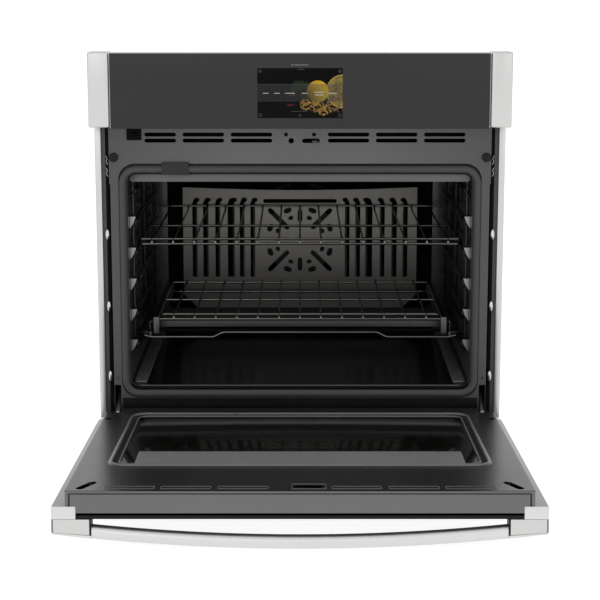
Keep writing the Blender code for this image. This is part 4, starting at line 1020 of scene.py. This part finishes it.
def makeGlideRack():
    g = glideRack
    r, base = g["wire"], g["base"]
    edge = 0.3034
    parts = [wire([(-edge, g["rear"], base), (-edge, g["front"] - 0.014, base + 0.004),
                   (-0.2960, g["front"], base + 0.0045), (-0.2820, g["front"], base),
                   (-0.162, g["front"], base), (-0.147, g["front"], base + 0.009),
                   (0.147, g["front"], base + 0.009), (0.162, g["front"], base), (0.2820, g["front"], base),
                   (0.2960, g["front"], base + 0.0045), (edge, g["front"] - 0.014, base + 0.004),
                   (edge, g["rear"], base)], r, 0.006),
             wire([(-0.3125, g["rear"], base), (0.3125, g["rear"], base)], r, 0)]
    strip = roundedBlock((-0.2825, -0.0715, base + 0.0030), (0.2825, -0.0700, base + 0.0085), 0.0005)
    addPiece("glide_base_bars", parts, "chrome", "root", ["glide_rack_base"])
    addPiece("glide_base_strip", [strip], "black", "root")
    channels = []
    # an open channel, with two brackets to the frame's side bar and a stop at its front
    low, high = 0.2792 + 0.0004, 0.2850
    web = high - 0.0014
    channels.append(prism([(low, base + 0.001), (high, base + 0.001), (high, base + 0.026),
                           (low, base + 0.026), (low, base + 0.0245), (web, base + 0.0245),
                           (web, base + 0.0025), (low, base + 0.0025)], -0.4525, -0.060))
    for proud in (-0.084, -0.404):
        channels.append(roundedBlock((0.2840, proud, base - 0.0012),
                                     (0.3040, proud + 0.008, base + 0.0016), 0.0005))
    channels.append(roundedBlock((0.2800, -0.062, base - 0.001), (0.2842, -0.0388, base + 0.010), 0.0006))
    addPiece("glide_channels", onBothSides(channels), "darkSteel", "root")
    for side in ("left", "right"):
        addPiece("glide_slide_" + side, [blockLike("glide_member_" + side, 0.0008)],
                 "darkSteel", "glide_members", ["glide_member_" + side])
    top = base + 0.0385
    level = top - 0.006
    half = g["topHalf"]
    bars = [wire([(-half, g["topRear"], level), (-half, g["topFront"], level), (half, g["topFront"], level),
                  (half, g["topRear"], level)], r, 0.008),
            wire([(-half, g["topRear"], level), (half, g["topRear"], level)], r, 0),
            wire([(-half, g["topMiddle"], level), (half, g["topMiddle"], level)], r, 0),
            wire([(-0.2625, g["topFront"] - 0.006, level), (-0.2600, g["topFront"] + 0.0008, top + 0.0035),
                  (0.2600, g["topFront"] + 0.0008, top + 0.0035), (0.2625, g["topFront"] - 0.006, level)],
                 r, 0.004)]
    addPiece("glide_top_bars", bars, "chrome", "glide_rack", ["glide_rack_top"])
    places = wirePlaces(g["count"])
    near = g["topFront"]
    wires = [wire([(x, near + 0.0032, level + 0.0040), (x, near + 0.0012, top + 0.0065),
                   (x, near - 0.012, level + 0.0046), (x, g["topRear"] + 0.0005, level + 0.0040)],
                  0.0019, 0.004, 8, 4) for x in places]
    addPiece("glide_top_wires", wires, "darkChrome", "glide_rack")
    addPiece("glide_top_tips", wireTips(places, near + 0.0032, level + 0.0037),
             "screw", "glide_rack")
    inner = [roundedBlock((0.2662, -0.400, base + 0.0120), (0.2722, -0.0525, level - 0.0010), 0.0006),
             roundedBlock((0.2660, -0.0505, base + 0.0042), (0.2772, -0.0475, top - 0.0020), 0.0008)]
    addPiece("glide_inner_channels", onBothSides(inner[:1]), "darkSteel", "glide_rack")
    addPiece("glide_end_plates", onBothSides(inner[1:]), "motor", "glide_rack")
    tie = roundedBlock((-0.2665, -0.0735, base + 0.0120), (0.2665, -0.0720, base + 0.0240), 0.0005)
    addPiece("glide_front_tie", [tie], "trimPaint", "glide_rack")


for side in ("left", "right"):
    makeRackSupport(side)
makeUpperRack()
makeGlideRack()
print("racks made")


# door, drawn closed and laid open about the hinge

doorBody = {"half": 0.3575, "low": 0.0545, "high": 0.5940, "face": 0.0100, "back": 0.033,
            "bead": (0.3060, 0.1050, 0.4550, 0.026), "beadInner": (0.2905, 0.1205, 0.4395, 0.016)}


doorDetails = {"markHalf": 0.0380, "markCentres": (0.0868, 0.1740, 0.2605), "markLow": 0.5690,
               "markHigh": 0.5815, "markWire": 0.0008, "strikeMark": (0.0262, 0.0135, 0.5565, 0.5825),
               "strike": (0.013, 0.5695), "cornerSlot": (0.3275, 0.5640), "cornerTurn": 62,
               "plugX": 0.3472, "plugZ": 0.1390}


def addDoor(name, surfaces, finish, stands=()):
    return addPiece(name, moved(surfaces, openDoor), finish, "door", stands)


def doorCut(item, surfaces):
    cutAway(item, moved(surfaces, openDoor))


def makeDoorPan():
    d, o = doorBody, doorDetails
    face, back = d["face"], d["back"]
    half, low, high = d["half"], d["low"], d["high"]

    def inset(amount, proud, radius=0.005):
        return (half - amount, low + amount, high - amount, max(radius - amount, 0.001), proud)

    def ring(grow, proud, near=d["bead"]):
        width, bottom, top, corner = near
        return (width + grow, bottom - grow, top + grow, corner + grow, proud)

    # wall, turned edge, flat face, a thin ridge, a sloping band and a second ridge at the glass
    rows = [inset(amount, proud) for amount, proud in (
        (0.0028, back), (0.0028, face + 0.0030), (0.0004, face + 0.0026), (0, face + 0.0020),
        (0, face + 0.0012), (0.0006, face + 0.0003), (0.0018, face), (0.0032, face))]
    rows += [ring(grow, proud) for grow, proud in (
        (0.0060, face), (0.0034, face), (0.0018, face - 0.0006), (0.0008, face - 0.0018),
        (-0.0002, face - 0.0022), (-0.0012, face - 0.0018), (-0.0022, face - 0.0004),
        (-0.0040, face + 0.0002))]
    rows += [ring(grow, proud, d["beadInner"]) for grow, proud in (
        (0.0046, face + 0.0010), (0.0034, face + 0.0002), (0.0024, face - 0.0004),
        (0.0014, face + 0.0002), (0.0004, face + 0.0010), (0, face + 0.0016))]
    item = addDoor("door_pan_skin", [nestedRings(rows, 10)], "doorEnamel",
                   ["door_inner_panel"])
    thicken(item, 0.0008)
    settle(item)
    cuts = [prism(stadium(0.046, 0.015, o["strike"]), -0.02, 0.06)]
    notch = prism([(0.3290, 0.040), (0.3620, 0.040), (0.3620, 0.090), (0.3290, 0.090)], -0.02, 0.06)
    slantTurn = math.radians(o["cornerTurn"])
    slant = prism(stadium(0.046, 0.0125, o["cornerSlot"], slantTurn), -0.02, face + 0.0090)
    doorCut(item, cuts + onBothSides([notch, slant]))

    def pressedMark(half, centre, bottom, top):
        # a thin rounded oblong standing on the face
        outline = roundedRect(half, bottom, top, 0.0014, 4, centre)
        path = at(outline[:, 0], face + 0.0001, outline[:, 1])
        return sweepProfile(path, o["markWire"] * circle(8), True)

    marks = [pressedMark(o["markHalf"], centre, o["markLow"], o["markHigh"]) for centre in o["markCentres"]]
    addDoor("door_pressed_marks", onBothSides(marks) + [pressedMark(*o["strikeMark"])], "enamel")
    plug = turned([(nearAxis, -0.0014), (0.0036, -0.0014), (0.0044, -0.0006), (0.0062, -0.0004),
                   (0.0066, 0.0008), (nearAxis, 0.0008)], (o["plugX"], face, o["plugZ"]), sides=28)
    addDoor("door_round_plugs", onBothSides([plug]), "black")
    # a fine raised ridge runs round the outside of the sloping band and another round the glass
    ridges = []
    for near, grow, proud, radius in ((d["bead"], -0.0004, face - 0.0010, 0.0024),
                                      (d["beadInner"], 0.0024, face + 0.0004, 0.0013)):
        width, bottom, top, corner = near
        outline = roundedRect(width + grow, bottom - grow, top + grow, corner + grow, 12)
        ridges.append(sweepProfile(at(outline[:, 0], proud, outline[:, 1]), radius * circle(10), True))
    # the ridges are paler than the pan: painted highlights
    addDoor("door_bead_ridges", ridges, "ridge")
    plate = roundedBlock((-0.3488, face + 0.0052, high - 0.0020), (0.3488, 0.0446, high + 0.0005), 0.0006)
    addDoor("door_top_plate", [plate], "topPlate")
    lip = roundedBlock((-0.3560, face + 0.0006, high - 0.0030), (0.3560, face + 0.0038, high + 0.0005),
                       0.0010)
    end = roundedBlock((0.3510, face + 0.0030, high - 0.0030), (0.3564, 0.0330, high + 0.0005), 0.0010)
    addDoor("door_top_lip", [lip] + onBothSides([end]), "topPlate")
    well = nestedRings([(0.030, 0.5575, 0.5815, 0.004, face + 0.0012),
                        (0.026, 0.5595, 0.5795, 0.003, face + 0.012)], 5, o["strike"][0], capLast=True)
    holder = addDoor("strike_recess", [well], "black")
    thicken(holder, 0.0008, 0.0)
    cover = prism(stadium(0.054, 0.018, o["cornerSlot"], slantTurn), face + 0.0094, face + 0.0104)
    addDoor("corner_slot_backs", onBothSides([cover]), "black")


def makeWindow():
    pane = blockLike("window_glass_inner", 0.0010, closed=True)
    addDoor("window_pane", [pane], "windowGlass", ["window_glass_inner"])
    front = blockLike("door_outer_glass", 0.0012, closed=True)
    addDoor("door_front_glass", [front], "doorGlass", ["door_outer_glass"])


column = {"inner": 0.3404, "outer": 0.3778, "back": 0.0340, "front": 0.0540, "low": 0.0520, "high": 0.5950,
          "radius": 0.0016}


def makeDoorColumn(side):
    c = column
    # the section across the column is a rounded oblong, x by proud
    r = c["radius"]
    turn = np.radians(np.arange(4)[:, None] * 90 + np.linspace(0, 90, 5))
    x = np.array([c["outer"] - r, c["inner"] + r, c["inner"] + r, c["outer"] - r])[:, None]
    proud = np.array([c["front"] - r, c["front"] - r, c["back"] + r, c["back"] + r])[:, None]
    section = np.stack([x + r * np.cos(turn), proud + r * np.sin(turn)], axis=-1).reshape(-1, 2)
    body = prism(section, c["low"], c["high"] - 0.0012, "z")
    cap = roundedBlock((c["inner"], c["back"], c["high"] - 0.0010), (c["outer"], c["front"], c["high"]),
                       0.0005)
    cover = roundedBlock((0.3480, c["back"] - 0.0003, c["low"] + 0.0005),
                         (c["outer"] - 0.0009, c["back"] + 0.0002, c["high"] - 0.0012), 0.0002)
    # the column's return is in the darker steel: painted shade
    parts = {"sheet": (body, "steelUp", ["door_column_" + side]), "cap": (cap, "steelCap", ()),
             "return": (cover, "steelShadedReturn", ())}
    for word, (surface, finish, stands) in parts.items():
        surface = mirrored(surface) if side == "left" else surface
        addDoor("door_column_" + word + "_" + side, [surface], finish, stands)


handle = {"reach": 0.3764, "free": 0.3168, "low": 0.5722, "high": 0.5928, "front": 0.1034, "bow": 0.0225,
          "bowHalf": 0.372, "thick": 0.0220, "blockFoot": 0.0800, "blockTaper": 0.0042,
          "mountRadius": 0.0030}


def makeHandle():
    h = handle
    tail = np.linspace(h["free"] + 0.0001, h["reach"], 9)
    x = np.concatenate([-tail[::-1], np.linspace(-h["free"], h["free"], 65), tail])
    outer = h["front"] - h["bow"] * (x / h["bowHalf"]) ** 2
    beyond = np.clip((np.abs(x) - h["free"]) / (h["reach"] - h["free"]), 0, 1)
    # the bar is full depth between the blocks, and a lip under each block
    inner = np.where(np.abs(x) > h["free"] + 0.00005, h["blockFoot"] - 0.0022 - h["blockTaper"] * beyond,
                     outer - h["thick"])
    # its section is an oval between inner and outer, low and high
    u, v = circle(40).T
    middle, depth = (inner + outer) / 2, (outer - inner) / 2
    height = (h["high"] - h["low"]) / 2
    points = at(x[:, None] * np.ones_like(u), middle[:, None] + depth[:, None] * u,
                (h["low"] + h["high"]) / 2 + height * v + 0 * x[:, None])
    count = len(u)
    faces = gridFaces(len(x), count, True)
    faces += [list(range(count))[::-1], list(range((len(x) - 1) * count, len(x) * count))]
    addDoor("handle_bar_bow", [(points, faces)], "steelAcross", ["handle_bar"])
    for side in ("left", "right"):
        x0, x1, p0, p1, z0, z1 = span("handle_mount_" + side, True)
        inner, outer = sorted((abs(x0), abs(x1)))
        # flat towards the door, with both front edges turned over a wide radius
        r = h["mountRadius"]
        arc = np.radians(np.linspace(90, 0, 9))
        front = np.stack([p1 - r + r * np.cos(arc), z1 - r + r * np.sin(arc)], axis=-1)
        low = np.stack([p1 - r + r * np.cos(arc), z0 + r - r * np.sin(arc)], axis=-1)[::-1]
        section = np.concatenate([[(p0, z0), (p0, z1)], front, low])
        core = np.array([(p0 + p1) / 2, (z0 + z1) / 2])
        parts = {"block": (prism(section, inner + 0.0026, outer - 0.0026, "x"), "steelUp",
                           ["handle_mount_" + side]),
                 # the end plate is in the darker steel: painted shade
                 "plate": (prism(section, outer - 0.0022, outer, "x"), "steelShadedReturn", ()),
                 # the black plastic spacer between block and bar: painted shade
                 "shade_spacer": (prism((section - core) * 0.96 + core, inner, inner + 0.0030, "x"),
                            "plastic", ())}
        for word, (surface, finish, stands) in parts.items():
            # the foot of the block rises a little towards its outer end
            points, faces = surface
            share = np.clip((np.abs(points[..., 0]) - inner) / (outer - inner), 0, 1)
            depth = (flangeY - points[..., 1] - p0) / (p1 - p0)
            points[..., 1] += h["blockTaper"] * share * depth
            surface = mirrored(surface) if side == "left" else surface
            item = addDoor("handle_end_" + word + "_" + side, [surface], finish,
                           stands)
            roundEdges(item, 0.0007, 50)


def makeHinges(side):
    walls = []
    for low, high in ((0.3315, 0.3330), (0.3455, 0.3470)):
        walls.append(prism([(0.0125, 0.060), (0.0165, 0.0545), (0.0310, 0.0545), (0.0310, 0.2295),
                            (0.0145, 0.2295), (0.0125, 0.2250)], low, high, "x"))
    walls.append(roundedBlock((0.3318, 0.0305, 0.0552), (0.3467, 0.0318, 0.2288), 0.0005))
    if side == "left":
        walls = [mirrored(wall) for wall in walls]
    addDoor("hinge_channel_" + side + "_sheet", walls, "bareSteel",
            ["hinge_channel_" + side])


makeDoorPan()
makeWindow()
for side in ("left", "right"):
    makeDoorColumn(side)
    makeHinges(side)
makeHandle()
print("door made")


# case

caseScrews = {"radius": 0.0042, "rise": 0.0018, "inset": 0.014, "count": 5}


def makeCase():
    bar = addPiece("lower_trim_bar", [blockLike("lower_trim", 0.0018)], "steelAcross",
                   "root", ["lower_trim"])
    slots = [prism(stadium(0.068, 0.008, ((k - 3) * 0.09, 0.025)), 0.004, 0.03) for k in range(7)]
    cutAway(bar, slots)
    roundEdges(bar, 0.0004)
    # low round screw heads hold the case sheets along their front and back edges
    c = caseScrews
    head = [(nearAxis, c["rise"]), (c["radius"] * 0.5, c["rise"] * 0.9),
            (c["radius"] * 0.85, c["rise"] * 0.5), (c["radius"], 0.0), (nearAxis, -0.0002)]
    x0, x1, p0, p1, z0, z1 = span("side_panel_right")
    sides = [turned(head, (x1, proud, z), "x", 20)
             for proud in (p0 + c["inset"], p1 - c["inset"])
             for z in np.linspace(z0 + c["inset"] * 2, z1 - c["inset"] * 2, c["count"])]
    x0, x1, p0, p1, z0, z1 = span("top_panel")
    tops = [turned(head, (x, proud, z1), "z", 20)
            for proud in (p0 + c["inset"], p1 - c["inset"])
            for x in np.linspace(x0 + c["inset"] * 2, x1 - c["inset"] * 2, c["count"])]
    addPiece("case_screws", onBothSides(sides) + tops, "zincScrew", "root")


makeCase()
print("case made")


# finishes for the nodes that stay

nodeFinishes = {
    "zinc": ["base_pan", "side_panel_left", "side_panel_right", "top_panel", "rear_panel", "conduit_gland",
             "panel_housing", "lamp_holder", "blower_housing", "blower_wheel", "window_pack_frame"],
    "fanPaint": ["convection_fan"],
    "plastic": ["display_module", "latch_motor"],
    "black": ["door_switch", "switch_plunger"],
    "board": ["power_board"],
    "heater": ["broil_element", "bake_element", "convection_element"],
    "wool": ["insulation_wrap"],
    "motor": ["fan_motor", "blower_motor"],
    "bareSteel": ["hinge_arm_left", "hinge_arm_right"],
    "darkSteel": ["latch_hook"],
    "lens": ["lamp_lens"],
    "middleGlass": ["window_glass_middle"],
    "steelAcross": ["temperature_sensor"],
}
for key, names in nodeFinishes.items():
    for name in names:
        node = frame["nodes"][name]
        if not node.material_slots:
            node.data.materials.append(finishes[key])
        for slot in node.material_slots:
            slot.material = finishes[key]
print("nodes finished")


# studio

studio = {"floorZ": cadBox[0][2], "reach": 16.0, "tone": (0.30, 0.30, 0.30), "glow": 0.92}
lights = {"key light": {"place": (-1.2, -4.2, 1.8), "size": (2.4, 1.6), "power": 9},
          "fill light": {"place": (1.8, -4.0, 1.6), "size": (2.0, 1.6), "power": 5}}
view = {"place": (0.0, -3.0422, 0.8726), "down": 9.61, "lens": 90.8, "shiftY": -0.12}


def makeStage():
    # a flat pale floor, its grid a little finer near the oven
    line = studio["reach"] * np.array([-1, -1 / 4, -1 / 16, 1 / 16, 1 / 4, 1])
    x, y = np.meshgrid(line, line)
    points = np.stack([x, y, np.full_like(x, studio["floorZ"] - 0.0005)], axis=-1)
    floor = bpy.data.objects.new("studio_floor", meshOf("studio_floor", [(points, gridFaces(6, 6))]))
    bpy.context.scene.collection.objects.link(floor)
    paint = Finish("studio floor")
    tone = studio["tone"]
    floor.data.materials.append(paint.set(
        Base_Color=paint.mix(paint.noise(3, 2), tone, shade(tone, 1.03)), Roughness=0.9,
        Specular_IOR_Level=0.1, Emission_Color=(1.0, 1.0, 1.0), Emission_Strength=studio["glow"]))


def addLight(name, place, size, power, target=(0, -0.4, 0.35)):
    # a rectangle of light turned towards the oven
    lamp = bpy.data.lights.new(name, "AREA")
    lamp.shape = "RECTANGLE"
    lamp.size, lamp.size_y = size
    lamp.energy = power
    item = bpy.data.objects.new(name, lamp)
    item.location = place
    item.rotation_euler = (Vector(target) - Vector(place)).to_track_quat("-Z", "Y").to_euler()
    bpy.context.scene.collection.objects.link(item)


def makeStudio():
    makeStage()
    world = bpy.data.worlds.new("studio world")
    world.use_nodes = True
    world.node_tree.nodes["Background"].inputs["Color"].default_value = (1.0, 1.0, 1.0, 1.0)
    world.node_tree.nodes["Background"].inputs["Strength"].default_value = 1.0
    bpy.context.scene.world = world
    for name, light in lights.items():
        addLight(name, **light)
    camera = bpy.data.cameras.new("camera")
    camera.lens = view["lens"]
    camera.sensor_width = 36
    camera.shift_y = view["shiftY"]
    item = bpy.data.objects.new("camera", camera)
    item.location = view["place"]
    item.rotation_euler = (math.radians(90 - view["down"]), 0, 0)
    bpy.context.scene.collection.objects.link(item)
    bpy.context.scene.camera = item
    bpy.context.scene.view_settings.view_transform = "Standard"


makeStudio()
print("studio made")
